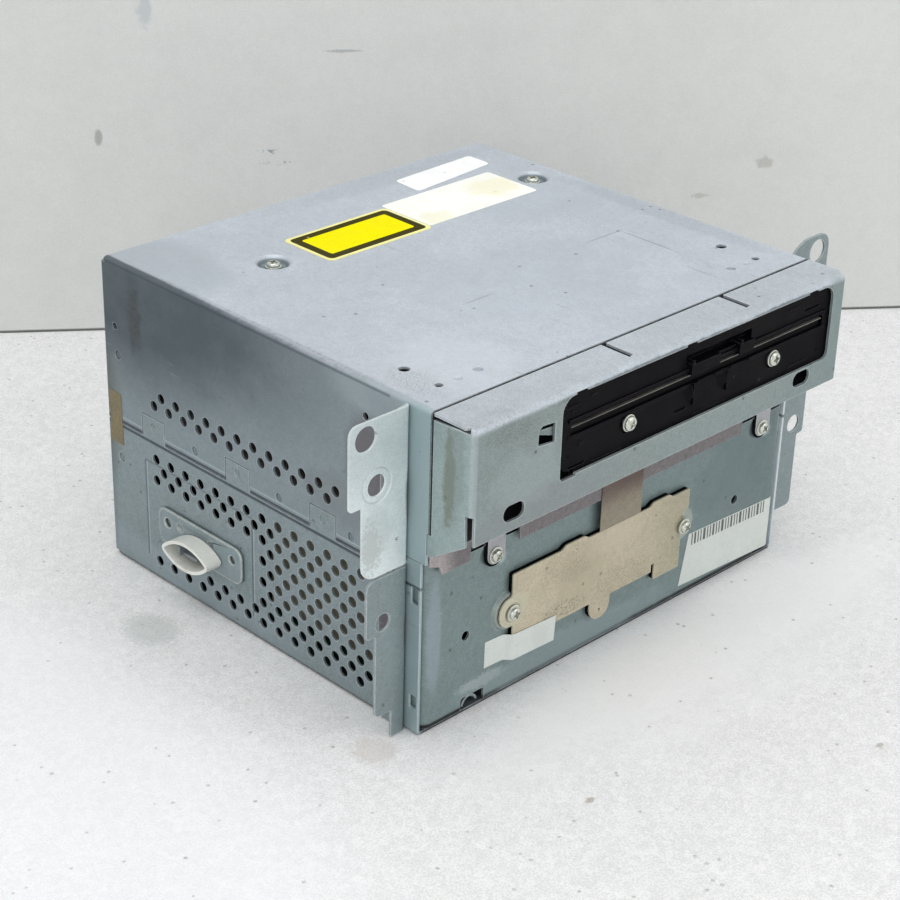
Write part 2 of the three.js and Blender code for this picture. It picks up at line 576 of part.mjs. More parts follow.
const EAR_LEAF = 12;
const EAR_CORNER = 3;
const EAR_FOOT = { upperLift: 6.7, lowerFoot: 10.2, heel: 6.6 };
const EARS = {
  upper_left_ear: {
    side: -1, width: 24.6, narrow: 19.4, datum: CASE_HEIGHT, rise: -0.6, step: 28.2, leaf: 3,
    holes: [{ out: 18.2, drop: 6, radius: 4.2 }, { out: 13.6, drop: 22.6, radius: 3.3 }],
  },
  lower_left_ear: {
    side: -1, width: 17.4, narrow: 13.5, datum: SEAM_HEIGHT, rise: 5.7, step: 14.5, leaf: 2.5,
    holes: [{ out: 10.6, drop: 10.4, radius: 3 }],
  },
  upper_right_ear: {
    side: 1, width: 23.2, narrow: 19.4, datum: CASE_HEIGHT, rise: 1.7, step: 28.2, leaf: 3, shoulder: 5,
    holes: [{ out: 16.6, drop: 4.3, radius: 4.2 }, { out: 13.6, drop: 22.6, radius: 3.3 }],
  },
  lower_right_ear: {
    side: 1, width: 19.6, narrow: 16.2, datum: SEAM_HEIGHT, rise: 5.7, step: 15.5, leaf: 2.5,
    holes: [{ out: 13.3, drop: 10.3, radius: 3.3 }],
  },
};

function ear({ side, width, narrow, datum, rise, step, leaf, shoulder, holes }) {
  const upper = datum === CASE_HEIGHT;
  const foot = upper ? SEAM_HEIGHT + EAR_FOOT.upperLift : EAR_FOOT.lowerFoot;
  const root = SIDE + CLEAR;
  const front = depth(EAR_SETBACK);
  const back = front + EAR_SHEET;
  const flange = (x0, x1, z0, z1, radii) => push("y", roundedRectangle([z0, z1], [x0, x1], radii), front,
    back);
  const overlap = EAR_CORNER;
  const stepHeight = datum - step;
  let solid = flange(root, SIDE + width, stepHeight, datum + rise, [0, 0, EAR_CORNER, EAR_CORNER / 2]);
  solid = solid.add(flange(root, SIDE + narrow, foot, stepHeight + overlap,
    [0, 0, 0, upper ? EAR_CORNER : 0]));
  const low = upper ? foot : CLEAR;
  if (!upper) solid = solid.add(flange(root, SIDE + EAR_FOOT.heel, low, foot + overlap, 0));
  if (shoulder) {
    solid = solid.subtract(block([root - OVERRUN, root + shoulder], [front - OVERRUN, back + OVERRUN],
      [datum, datum + rise + OVERRUN]));
  }
  solid = solid.add(block([root, root + EAR_SHEET], [front, front + EAR_LEAF], [low, datum - leaf]));
  for (const { out, drop, radius } of holes) {
    solid = solid.subtract(rod("y", [datum - drop, SIDE + out], radius, front - OVERRUN, back + OVERRUN,
      FINE));
  }
  return side > 0 ? solid : solid.mirror([1, 0, 0]);
}

// Boss plate on the left wall, and the white lens-shaped boss that stands on it

const BOSS_PLATE = {
  front: 87.4, length: 44.6, foot: 17.7, tall: 13.6, corner: 3.5, thickness: 1,
  holeInset: 5, holeLift: 8.4, holeRadius: 1.7,
};
const BOSS = {
  middle: 110, height: 22, length: 24.6, thickness: 11, stand: 6.2, wall: 1.2, tiltDegrees: 4,
};

function bossPlate() {
  const outer = -SIDE - CLEAR - BOSS_PLATE.thickness;
  const { front, length, foot, tall, corner, holeInset, holeLift, holeRadius } = BOSS_PLATE;
  const rear = front + length;
  const shape = roundedRectangle([depth(front), depth(rear)], [foot, foot + tall], corner);
  const plate = push("x", shape, outer, -SIDE - CLEAR);
  return [front + holeInset, rear - holeInset].reduce((whole, distance) => (
    whole.subtract(rod("x", [depth(distance), foot + holeLift], holeRadius, outer - OVERRUN, -SIDE))),
  plate);
}

function lensShape(inset) {
  const half = BOSS.length / 2 - inset * 2;
  const rise = BOSS.thickness / 2 - inset;
  const radius = (half * half + rise * rise) / (2 * rise);
  const sweep = Math.asin(half / radius);
  const shape = new THREE.Shape();
  shape.absarc(0, rise - radius, radius, Math.PI / 2 - sweep, Math.PI / 2 + sweep);
  shape.absarc(0, radius - rise, radius, -Math.PI / 2 - sweep, -Math.PI / 2 + sweep);
  return shape;
}

function locatingBoss() {
  const back = -SIDE - CLEAR * 2 - BOSS_PLATE.thickness;
  const front = back - BOSS.stand;
  return push("x", lensShape(0), front, back, FINE * 2)
    .subtract(push("x", lensShape(BOSS.wall), front - OVERRUN, back - BOSS.wall, FINE * 2))
    .rotate([BOSS.tiltDegrees, 0, 0])
    .translate([0, depth(BOSS.middle), BOSS.height]);
}

// Drive deck: the shelf across the case that carries the drive, with a lip that shows under the shroud

const DECK = { front: 0.8, side: 8, lipDrop: 7.2, tongueDrop: 6.6, notchWidth: 24, notchDepth: 6 };
const DECK_REAR = CASE_DEPTH - SHEET - RETURN - CLEAR * 2;
const DECK_LIP = { leftInset: 41, rightInset: 28, tongueInset: 4, tongueWidth: 15 };

function driveDeck() {
  const half = SIDE - SHEET - CLEAR;
  const front = depth(DECK.front);
  const top = DECK_HEIGHT + SHEET;
  const plate = block([-half, half], [depth(DECK.front + SHEET), depth(DECK_REAR)], [DECK_HEIGHT, top]);
  const inside = depth(PANEL_SETBACK + LOWER.flange + SHEET);
  const sides = [-1, 1].map((side) => block(
    [Math.min(side * half, side * (half - SHEET)), Math.max(side * half, side * (half - SHEET))],
    [inside, depth(DECK_REAR)], [DECK_HEIGHT - DECK.side, top]));
  const lip = block([DECK_LIP.leftInset - SIDE, SIDE - DECK_LIP.rightInset], [front, front + SHEET],
    [DECK_HEIGHT - DECK.lipDrop, top]);
  const tongueLeft = DECK_LIP.tongueInset - SIDE;
  const tongue = block([tongueLeft, tongueLeft + DECK_LIP.tongueWidth], [front, front + SHEET],
    [DECK_HEIGHT - DECK.tongueDrop, top]);
  const bridge = block([-half, half], [front, front + SHEET * 2], [DECK_HEIGHT, top]);
  const notchHalf = DECK.notchWidth / 2;
  const notch = block([DISC_X - notchHalf, DISC_X + notchHalf],
    [depth(DECK_REAR - DECK.notchDepth), depth(DECK_REAR) + OVERRUN],
    [DECK_HEIGHT - OVERRUN, top + OVERRUN]);
  return joined(plate, ...sides, bridge, lip, tongue).subtract(notch);
}

// Drive chassis on four dampers: base, two walls and the posts that carry the traverse plate

const CHASSIS_BASE = DECK_HEIGHT + CHASSIS.baseLift;
const TOP_PLATE = { rise: 3.8, hole: 19 };
const TOP_PLATE_HEIGHT = DISC_HEIGHT + TOP_PLATE.rise;
const DAMPER = { radius: 5, neck: 3.4, inset: 12 };
const ROLLER = { depth: 9, radius: 3.6, end: 4.1, shaft: 1.5 };
const TRAVERSE = {
  drop: 18.5, thickness: 1.5, half: 43, front: 50, rear: 136, windowHalf: 23, windowFront: 84,
  windowRear: 131,
};
const TRAVERSE_BOTTOM = DISC_HEIGHT - TRAVERSE.drop;
const POST = { radius: 3, inset: 4 };
const BRACKET = { depth: 17, footDrop: 1.2 };
const LOAD_MOTOR = { radius: 7.5, length: 20 };
const GEAR = { radius: 8, root: 6.6, teeth: 16, width: 3, rootShare: 0.3, tipShare: 0.14 };
const WORM = { radius: 3, core: 2.2, length: 13, ridges: 5, shaft: 1 };
const WORM_SIDES = 8;

const ROLLER_HEIGHT = DISC_HEIGHT - ROLLER.end - CLEAR * 3;
const WORM_HEIGHT = ROLLER_HEIGHT - GEAR.radius - WORM.radius - CLEAR;
const WORM_X = DISC_X - CHASSIS_HALF - CLEAR - LOAD_MOTOR.radius;
const GEAR_X = WORM_X - GEAR.width / 2;

function postPlaces() {
  const xs = [DISC_X - TRAVERSE.half + POST.inset, DISC_X + TRAVERSE.half - POST.inset];
  const ys = [depth(TRAVERSE.front + POST.inset), depth(TRAVERSE.rear - POST.inset)];
  return xs.flatMap((x) => ys.map((y) => [x, y]));
}

function driveChassis() {
  const left = DISC_X - CHASSIS_HALF;
  const right = DISC_X + CHASSIS_HALF;
  const span = [depth(CHASSIS.front), depth(CHASSIS.rear)];
  const base = block([left, right], span, [CHASSIS_BASE, CHASSIS_BASE + SHEET]);
  const window = block([DISC_X - CHASSIS.window / 2, DISC_X + CHASSIS.window / 2],
    [depth(TRAVERSE.front + POST.inset * 3), depth(TRAVERSE.rear - POST.inset * 3)],
    [CHASSIS_BASE - OVERRUN, CHASSIS_BASE + OVERRUN]);
  const walls = [left, right - SHEET].map((x) => block([x, x + SHEET], span,
    [CHASSIS_BASE, TOP_PLATE_HEIGHT - CLEAR]));
  const posts = postPlaces().map((place) => rod("z", place, POST.radius, CHASSIS_BASE + SHEET / 2,
    TRAVERSE_BOTTOM - CLEAR));
  const plate = block([WORM_X - LOAD_MOTOR.radius, left + SHEET / 2],
    [depth(BRACKET.depth), depth(BRACKET.depth) + SHEET],
    [WORM_HEIGHT - LOAD_MOTOR.radius - BRACKET.footDrop, WORM_HEIGHT + LOAD_MOTOR.radius]);
  const shaftHole = rod("y", [WORM_HEIGHT, WORM_X], WORM.shaft + CLEAR,
    depth(BRACKET.depth) - OVERRUN, depth(BRACKET.depth) + OVERRUN);
  const bearings = rod("x", [depth(ROLLER.depth), ROLLER_HEIGHT], ROLLER.shaft + CLEAR, left - OVERRUN,
    right + OVERRUN);
  return joined(base.subtract(window), ...walls, ...posts, plate).subtract(shaftHole).subtract(bearings);
}

function damper() {
  const height = CHASSIS_BASE - DECK_HEIGHT - SHEET - CLEAR * 2;
  const { radius, neck } = DAMPER;
  return turned([[0, 0], [radius, 0], [radius, height / 3], [neck, height / 2], [radius, height * 2 / 3],
    [radius, height], [0, height]], ROUND);
}

function loadingRoller() {
  const inner = CHASSIS_HALF - SHEET - CLEAR * 3;
  const { radius, end, shaft } = ROLLER;
  const left = GEAR_X - DISC_X - CLEAR;
  const right = CHASSIS_HALF + CLEAR * 3;
  const roller = turned([[0, left], [shaft, left], [shaft, -inner], [end, -inner], [radius, -inner / 3],
    [radius, inner / 3], [end, inner], [shaft, inner], [shaft, right], [0, right]], ROUND);
  return roller.rotate([0, 90, 0]);
}

// A toothed wheel round Z whose bore clears its shaft.
function gearWheel({ radius, root, teeth, width, rootShare, tipShare }, bore) {
  const points = [];
  const step = 2 * Math.PI / teeth;
  const flanks = [[-rootShare, root], [-tipShare, radius], [tipShare, radius], [rootShare, root]];
  for (let tooth = 0; tooth < teeth; tooth += 1) {
    for (const [share, reach] of flanks) {
      const turn = (tooth + share) * step;
      points.push([reach * Math.cos(turn), reach * Math.sin(turn)]);
    }
  }
  const wheel = push("z", outline(points), 0, width);
  return wheel.subtract(rod("z", [0, 0], bore, -OVERRUN, width + OVERRUN));
}

function worm() {
  const { radius, core, length, ridges, shaft } = WORM;
  const pitch = length / ridges;
  const profile = [[0, 0], [core, 0]];
  for (let ridge = 0; ridge < ridges; ridge += 1) {
    const start = ridge * pitch;
    profile.push([core, start + pitch / 4], [radius, start + pitch / 2], [core, start + pitch * 3 / 4]);
  }
  const tail = BRACKET.depth + SHEET / 2 - ROLLER.depth + length / 2;
  profile.push([core, length], [shaft, length], [shaft, tail], [0, tail]);
  return turned(profile, WORM_SIDES).rotate([-90, 0, 0]);
}

function loadingMotor() {
  const { radius, length } = LOAD_MOTOR;
  return turned([[0, 0], [radius, 0], [radius, length - SHEET], [radius - SHEET, length], [0, length]],
    FINE)
    .rotate([-90, 0, 0]);
}

// Traverse plate with the lugs that hold the guide rods and the feed screw

const GUIDE = { spread: 29, radius: 1.5, stand: 4.2, lug: 5, lugDepth: 3, front: 79 };
const FEED = { offset: 36, radius: 1.6, core: 1.1, pitch: 3, front: 77, motor: 5.5, motorLength: 15 };
const SLED = { half: 22.5, halfLength: 7, drop: 3.6, start: 24, arm: 3.4 };
const GUIDE_HEIGHT = TRAVERSE_BOTTOM + TRAVERSE.thickness + GUIDE.stand;
const SLED_TOP = GUIDE_HEIGHT + SLED.arm;

const LUG_REAR = TRAVERSE.rear - GUIDE.lugDepth;

function traversePlate() {
  const top = TRAVERSE_BOTTOM + TRAVERSE.thickness;
  const plate = block([DISC_X - TRAVERSE.half, DISC_X + TRAVERSE.half],
    [depth(TRAVERSE.front), depth(TRAVERSE.rear)],
    [TRAVERSE_BOTTOM, top]);
  const window = block([DISC_X - TRAVERSE.windowHalf, DISC_X + TRAVERSE.windowHalf],
    [depth(TRAVERSE.windowFront), depth(TRAVERSE.windowRear)], [TRAVERSE_BOTTOM - OVERRUN, top + OVERRUN]);
  const lugs = [];
  const bores = [];
  for (const side of [-1, 1]) {
    const x = DISC_X + side * GUIDE.spread;
    for (const front of [GUIDE.front, LUG_REAR]) {
      lugs.push(block([x - GUIDE.lug / 2, x + GUIDE.lug / 2], [depth(front), depth(front + GUIDE.lugDepth)],
        [top - SHEET, GUIDE_HEIGHT + GUIDE.lug / 2]));
    }
    bores.push(rod("y", [GUIDE_HEIGHT, x], GUIDE.radius + CLEAR, depth(TRAVERSE.front),
      depth(TRAVERSE.rear) + OVERRUN));
  }
  const screwX = DISC_X + FEED.offset;
  lugs.push(block([screwX - GUIDE.lug / 2, screwX + GUIDE.lug / 2],
    [depth(LUG_REAR), depth(LUG_REAR + GUIDE.lugDepth)], [top - SHEET, GUIDE_HEIGHT + GUIDE.lug / 2]));
  bores.push(rod("y", [GUIDE_HEIGHT, screwX], FEED.core + CLEAR, depth(LUG_REAR) - OVERRUN,
    depth(TRAVERSE.rear) + OVERRUN));
  return bores.reduce((whole, bore) => whole.subtract(bore), joined(plate, ...lugs).subtract(window));
}

function guideRod(side) {
  const x = DISC_X + side * GUIDE.spread;
  return rod("y", [GUIDE_HEIGHT, x], GUIDE.radius, depth(GUIDE.front), depth(TRAVERSE.rear));
}

function pickupSled() {
  const middle = DISC_DEPTH + SLED.start;
  const span = [depth(middle - SLED.halfLength), depth(middle + SLED.halfLength)];
  const body = block([DISC_X - SLED.half, DISC_X + SLED.half], span, [GUIDE_HEIGHT - SLED.drop, SLED_TOP]);
  const outer = GUIDE.spread + SLED.arm;
  const arms = block([DISC_X - outer, DISC_X + outer], span, [GUIDE_HEIGHT - SLED.arm,
    GUIDE_HEIGHT + SLED.arm]);
  const rack = block([DISC_X + outer - SHEET, DISC_X + FEED.offset - FEED.radius - CLEAR], span,
    [GUIDE_HEIGHT - SHEET, GUIDE_HEIGHT + SHEET]);
  const bores = [-1, 1].map((side) => rod("y", [GUIDE_HEIGHT, DISC_X + side * GUIDE.spread],
    GUIDE.radius + CLEAR,
    span[0] - OVERRUN, span[1] + OVERRUN));
  return joined(body, arms, rack).subtract(bores[0]).subtract(bores[1]);
}

const LENS = { half: 5, height: 3, gap: 0.9, radius: 2.4, dome: 0.8 };

function lensHolder() {
  const bottom = SLED_TOP + LENS.gap;
  const middle = depth(DISC_DEPTH + SLED.start);
  const frame = block([DISC_X - LENS.half, DISC_X + LENS.half], [middle - LENS.half, middle + LENS.half],
    [bottom, bottom + LENS.height]);
  const glass = turned([[0, -SHEET], [LENS.radius, -SHEET], [LENS.radius, LENS.dome / 2],
    [LENS.radius / 2, LENS.dome],
    [0, LENS.dome]], ROUND);
  return frame.add(glass.translate([DISC_X, middle, bottom + LENS.height]));
}

function feedScrew() {
  const start = FEED.front + CLEAR;
  const profile = [[0, start], [FEED.core, start]];
  const threadEnd = LUG_REAR - CLEAR * 4;
  for (let station = start + FEED.pitch; station + FEED.pitch < threadEnd; station += FEED.pitch) {
    profile.push([FEED.core, station], [FEED.radius, station + FEED.pitch / 2]);
  }
  profile.push([FEED.core, threadEnd], [FEED.core, TRAVERSE.rear], [0, TRAVERSE.rear]);
  return turned(profile, WORM_SIDES).rotate([-90, 0, 0]).translate([DISC_X + FEED.offset, FRONT,
    GUIDE_HEIGHT]);
}

function feedMotor() {
  const { motor, motorLength } = FEED;
  const drop = GUIDE_HEIGHT - TRAVERSE_BOTTOM - TRAVERSE.thickness - CLEAR;
  const flatted = block([-motor, motor], [-motor, drop], [-OVERRUN, motorLength + OVERRUN]);
  return rod("z", [0, 0], motor, 0, motorLength, FINE).intersect(flatted).rotate([-90, 0, 0]);
}

// Spindle: a flat motor on the traverse plate, the turntable it turns and the clamp above the disc

const SPINDLE = {
  motor: 13, bore: 2, shaft: 1.5, motorHeight: 7.5, platter: 15, rim: 1.6, cone: 7.3, coneTop: 5.8,
};
const CLAMP = { radius: 15, puck: 1.6, neck: 4, cap: 7, capHeight: 1, armLift: 1, arm: 1.2 };
const PIVOT = { depth: 130, lift: 1.4, radius: 1, ear: 1.2, half: 17, knuckle: 2.4 };
const ARM_HEIGHT = TOP_PLATE_HEIGHT + SHEET + CLAMP.armLift;
const PIVOT_HEIGHT = ARM_HEIGHT + PIVOT.lift;

function spindleMotor() {
  const bottom = TRAVERSE_BOTTOM + TRAVERSE.thickness + CLEAR;
  const { motor, bore, motorHeight } = SPINDLE;
  return turned([[0, 0], [motor, 0], [motor, motorHeight - SHEET], [motor - SHEET, motorHeight],
    [bore, motorHeight],
    [bore, SHEET], [0, SHEET]]).translate([DISC_X, depth(DISC_DEPTH), bottom]);
}

function turntable() {
  const foot = TRAVERSE_BOTTOM + TRAVERSE.thickness + CLEAR * 2 + SHEET;
  const seat = DISC_HEIGHT - DISC_THICKNESS / 2;
  const { shaft, platter, rim, cone, coneTop } = SPINDLE;
  const hubFoot = TRAVERSE_BOTTOM + TRAVERSE.thickness + SPINDLE.motorHeight + CLEAR * 2;
  return turned([[0, foot], [shaft, foot], [shaft, hubFoot], [cone, hubFoot], [cone, seat - rim],
    [platter, seat - rim],
    [platter, seat], [cone, seat], [coneTop, seat + rim * 3 / 4], [0, seat + rim * 3 / 4]])
    .translate([DISC_X, depth(DISC_DEPTH), 0]);
}

function clampPuck() {
  const bottom = DISC_HEIGHT - DISC_THICKNESS / 2 + SPINDLE.rim * 3 / 4 + CLEAR;
  const { radius, puck, neck, cap, capHeight } = CLAMP;
  const armTop = ARM_HEIGHT + CLAMP.arm + CLEAR;
  return turned([[0, bottom], [radius, bottom], [radius, bottom + puck], [neck, bottom + puck],
    [neck, armTop],
    [cap, armTop], [cap, armTop + capHeight], [0, armTop + capHeight]]).translate([DISC_X,
      depth(DISC_DEPTH), 0]);
}

function clampArm() {
  const { arm, neck, cap } = CLAMP;
  const head = cap + SHEET * 2;
  const centre = [DISC_X, depth(DISC_DEPTH)];
  const ring = rod("z", centre, head, ARM_HEIGHT, ARM_HEIGHT + arm, FINE);
  const beam = block([DISC_X - SLED.arm * 2, DISC_X + SLED.arm * 2],
    [depth(DISC_DEPTH), depth(PIVOT.depth)],
    [ARM_HEIGHT, ARM_HEIGHT + arm]);
  const knuckleHalf = PIVOT.half - PIVOT.ear - CLEAR * 2;
  const cross = block([DISC_X - knuckleHalf, DISC_X + knuckleHalf],
    [depth(PIVOT.depth - PIVOT.knuckle * 3), depth(PIVOT.depth)], [ARM_HEIGHT, ARM_HEIGHT + arm]);
  const knuckle = rod("x", [depth(PIVOT.depth), PIVOT_HEIGHT], PIVOT.knuckle, DISC_X - knuckleHalf,
    DISC_X + knuckleHalf, FINE);
  const bore = rod("x", [depth(PIVOT.depth), PIVOT_HEIGHT], PIVOT.radius + CLEAR,
    DISC_X - knuckleHalf - OVERRUN,
    DISC_X + knuckleHalf + OVERRUN);
  return joined(ring, beam, cross, knuckle).subtract(bore)
    .subtract(rod("z", centre, neck + CLEAR, ARM_HEIGHT - OVERRUN, ARM_HEIGHT + OVERRUN, FINE));
}

function clampPin() {
  return rod("x", [depth(PIVOT.depth), PIVOT_HEIGHT], PIVOT.radius, DISC_X - PIVOT.half,
    DISC_X + PIVOT.half);
}

function driveTopPlate() {
  const { hole } = TOP_PLATE;
  const bottom = TOP_PLATE_HEIGHT;
  const top = bottom + SHEET;
  const plate = block([DISC_X - CHASSIS_HALF, DISC_X + CHASSIS_HALF],
    [depth(CHASSIS.front), depth(CHASSIS.rear)],
    [bottom, top]);
  const well = rod("z", [DISC_X, depth(DISC_DEPTH)], hole, bottom - OVERRUN, top + OVERRUN, FINE);
  const ears = [-1, 1].map((side) => {
    const x = DISC_X + side * (PIVOT.half - PIVOT.ear / 2);
    return block([x - PIVOT.ear / 2, x + PIVOT.ear / 2],
      [depth(PIVOT.depth - PIVOT.knuckle), depth(PIVOT.depth + PIVOT.knuckle)],
      [top - SHEET / 2, PIVOT_HEIGHT + PIVOT.knuckle]);
  });
  const knuckleSlot = block([DISC_X - PIVOT.half + PIVOT.ear, DISC_X + PIVOT.half - PIVOT.ear],
    [depth(PIVOT.depth - PIVOT.knuckle * 2), depth(PIVOT.depth + PIVOT.knuckle + CLEAR)],
    [bottom - OVERRUN, top + OVERRUN]);
  const bore = rod("x", [depth(PIVOT.depth), PIVOT_HEIGHT], PIVOT.radius + CLEAR,
    DISC_X - PIVOT.half - OVERRUN,
    DISC_X + PIVOT.half + OVERRUN);
  return joined(plate.subtract(well).subtract(knuckleSlot), ...ears).subtract(bore);
}

// Braces that tie the deck to the cover beside the drive

function brace(side) {
  const wall = DISC_X + side * BRACE_HALF;
  const inward = -side;
  const low = DECK_HEIGHT + SHEET + CLEAR;
  const high = CASE_HEIGHT - SHEET - TOP_SCREW.sink - CLEAR;
  const limits = (a, b) => [Math.min(a, b), Math.max(a, b)];
  const span = [depth(TOP_SCREW.depth - BRACE.ahead), depth(TOP_SCREW.depth + BRACE.behind)];
  const web = block(limits(wall, wall + inward * SHEET), span, [low, high]);
  const shelf = block(limits(wall, wall + inward * BRACE.shelf), span, [high - SHEET, high]);
  const x = TOP_SCREW_X[side < 0 ? 0 : 1];
  return joined(web, shelf).subtract(rod("z", [x, depth(TOP_SCREW.depth)], SCREW.shank + CLEAR,
    high - OVERRUN,
    high + OVERRUN));
}

// Lower compartment

function mainBoard() {
  const { bottom, thickness, sideGap, front } = BOARD;
  const half = SIDE - sideGap;
  const rear = DECK_REAR - CLEAR;
  return block([-half, half], [depth(front), depth(rear)], [bottom, bottom + thickness]);
}

const SINK = { x: -20, depth: 60, half: 17, base: 2, fins: 6, fin: 1.4, height: 8 };
const CAN = { sideInset: 32, depth: 50, halfX: 16, halfY: 22, height: 7 };
const CAPACITOR = { x: 20, depth: 124, radius: 7, height: 13 };

const PART_FOOT = BOARD_TOP + CLEAR;

function heatSink() {
  const low = PART_FOOT;
  const span = [depth(SINK.depth - SINK.half), depth(SINK.depth + SINK.half)];
  let sink = block([SINK.x - SINK.half, SINK.x + SINK.half], span, [low, low + SINK.base]);
  const step = (SINK.half * 2 - SINK.fin) / (SINK.fins - 1);
  for (let index = 0; index < SINK.fins; index += 1) {
    const x = SINK.x - SINK.half + index * step;
    sink = sink.add(block([x, x + SINK.fin], span, [low, low + SINK.height]));
  }
  return sink;
}

function receiverCan() {
  const middle = SIDE - CAN.sideInset;
  return block([middle - CAN.halfX, middle + CAN.halfX], [depth(CAN.depth - CAN.halfY),
    depth(CAN.depth + CAN.halfY)],
    [PART_FOOT, PART_FOOT + CAN.height]);
}

function capacitor() {
  const { radius, height } = CAPACITOR;
  const pinch = radius - SHEET / 2;
  return turned([[0, 0], [radius, 0], [radius, SHEET], [pinch, SHEET * 1.5], [radius, SHEET * 2],
    [radius, height],
    [pinch, height + CLEAR], [0, height + CLEAR]], ROUND);
}

const DISK = { length: 100, width: 70, height: 9.5, front: 7, bottom: 26 };
const CADDY_WALL = 1;
const DISK_X = (BAY_LEFT + BAY_RIGHT) / 2;

function hardDisk() {
  return block([DISK_X - DISK.width / 2, DISK_X + DISK.width / 2],
    [depth(DISK.front), depth(DISK.front + DISK.length)],
    [DISK.bottom, DISK.bottom + DISK.height]);
}

function diskCaddy() {
  const inner = DISK.width / 2 + CLEAR;
  const outer = inner + CADDY_WALL;
  const floorTop = DISK.bottom - CLEAR;
  const span = [depth(DISK.front + SHEET), depth(DISK.front + DISK.length)];
  const ceiling = DECK_HEIGHT - CLEAR;
  const floor = block([DISK_X - outer, DISK_X + outer], span, [floorTop - SHEET, floorTop]);
  const walls = [-1, 1].flatMap((side) => {
    const near = DISK_X + side * inner;
    const far = DISK_X + side * outer;
    const limits = [Math.min(near, far), Math.max(near, far)];
    const rail = block(limits, span, [floorTop - SHEET, DISK.bottom + DISK.height]);
    const legs = [0, 1].map((end) => {
      const start = end ? DISK.front + DISK.length - DISK.width / 4 : DISK.front + DISK.width / 8;
      return block(limits, [depth(start), depth(start + DISK.width / 6)], [floorTop, ceiling]);
    });
    return [rail, ...legs];
  });
  return joined(floor, ...walls);
}

// Fan

function fanFrame() {
  const { frame, thickness, bore, hub, strut } = FAN;
  const half = frame / 2;
  const wheel = push("y", roundedRectangle([-half, half], [-half, half], SHEET * 2), 0, thickness)
    .subtract(rod("y", [0, 0], bore, -OVERRUN, thickness + OVERRUN, FINE));
  const plate = rod("y", [0, 0], hub, 0, strut, FINE);
  const arms = [0, 1, 2].map((index) => (
    block([-strut / 2, strut / 2], [0, strut], [hub - strut, bore + strut]).rotate([0, index * 120 + 45,
      0])));
  const pin = rod("y", [0, 0], SHEET, strut / 2, thickness - OVERRUN);
  return joined(wheel, plate, ...arms, pin);
}

function fanRotor() {
  const { thickness, bore, hub, blades, sweep, strut } = FAN;
  const start = strut + CLEAR;
  const end = thickness - SHEET;
  const middle = (start + end) / 2;
  let rotor = rod("y", [0, 0], hub, start, end, FINE).subtract(rod("y", [0, 0], SHEET + CLEAR,
    start - OVERRUN,
    thickness - OVERRUN + CLEAR));
  for (let blade = 0; blade < blades; blade += 1) {
    const half = (end - start) / 2 / Math.cos(sweep) - SHEET;
    const vane = block([-SHEET / 2, SHEET / 2], [-half, half], [hub - SHEET, bore - SHEET])
      .rotate([0, 0, THREE.MathUtils.radToDeg(sweep)])
      .translate([0, middle, 0])
      .rotate([0, blade * 360 / blades, 0]);
    rotor = rotor.add(vane);
  }
  return rotor;
}

// Sockets at the back

function harnessSocket() {
  const { height, width, tall, wall, stand, inside, chambers, pins } = PLUG;
  const x = PLUG_X;
  const back = REAR + stand;
  const front = REAR - inside;
  let socket = block([x - width / 2, x + width / 2], [front, back], [height - tall / 2, height + tall / 2]);
  const chamber = (width - wall * (chambers + 1)) / chambers;
  for (let index = 0; index < chambers; index += 1) {
    const left = x - width / 2 + wall + index * (chamber + wall);
    socket = socket.subtract(block([left, left + chamber], [front + wall * 2, back + OVERRUN],
      [height - tall / 2 + wall, height + tall / 2 - wall]));
    for (let pin = 0; pin < pins; pin += 1) {
      const across = left + chamber * (pin + 0.5) / pins;
      socket = socket.add(block([across - wall / 4, across + wall / 4], [front + wall, back - stand * 2],
        [height - tall / 2 + wall * 3 / 4, height - tall / 2 + wall * 5 / 4 + wall]));
    }
  }
  const foot = block([x - width / 2 + wall, x + width / 2 - wall], [front, REAR - RETURN],
    [PART_FOOT, height]);
  return socket.add(foot);
}

function aerialJack() {
  const { radius, bush } = JACK;
  const reach = RETURN;
  const seat = -(SHEET + CLEAR) * 2;
  return turned([[0, -reach], [bush, -reach], [bush, seat], [radius, seat], [radius, PLUG.stand],
    [radius - SHEET * 1.4, PLUG.stand], [radius - SHEET * 1.4, 0], [SHEET, 0], [SHEET, PLUG.stand / 2],
    [0, PLUG.stand / 2]], FINE).rotate([-90, 0, 0]);
}

const FLEX = { width: 20, thickness: 0.3 };

// The flat cable that leaves the drive, drops through the deck's notch and ends at the main board.
function driveFlex() {
  const out = depth(CHASSIS.rear + CLEAR);
  const drop = depth(DECK_REAR - DECK.notchDepth / 2);
  const top = CHASSIS_BASE + SHEET / 2;
  const low = PART_FOOT;
  const t = FLEX.thickness;
  const shape = outline([[out, top], [drop, top], [drop, low], [drop + t, low], [drop + t, top + t],
    [out, top + t]]);
  return push("x", shape, DISC_X - FLEX.width / 2, DISC_X + FLEX.width / 2);
}

// Assembly

function buildCase() {
  piece("top_cover", topCover(), FINISH.zinc);
  piece("lower_tray", lowerTray(), FINISH.zinc);
  piece("rear_panel", rearPanel(), FINISH.zinc);
  piece("drive_shroud", driveShroud(), FINISH.frontZinc);
  piece("slot_bezel", slotBezel(), FINISH.blackPlastic);
  piece("lower_front_panel", lowerPanel(), FINISH.frontZinc);
  piece("disk_bay_cover", bayCover(), FINISH.bareSteel);
  for (const [name, sizes] of Object.entries(EARS)) piece(name, ear(sizes), FINISH.earZinc);
  piece("side_boss_plate", bossPlate(), FINISH.zinc);
  piece("side_locating_boss", locatingBoss(), FINISH.whitePlastic);
}

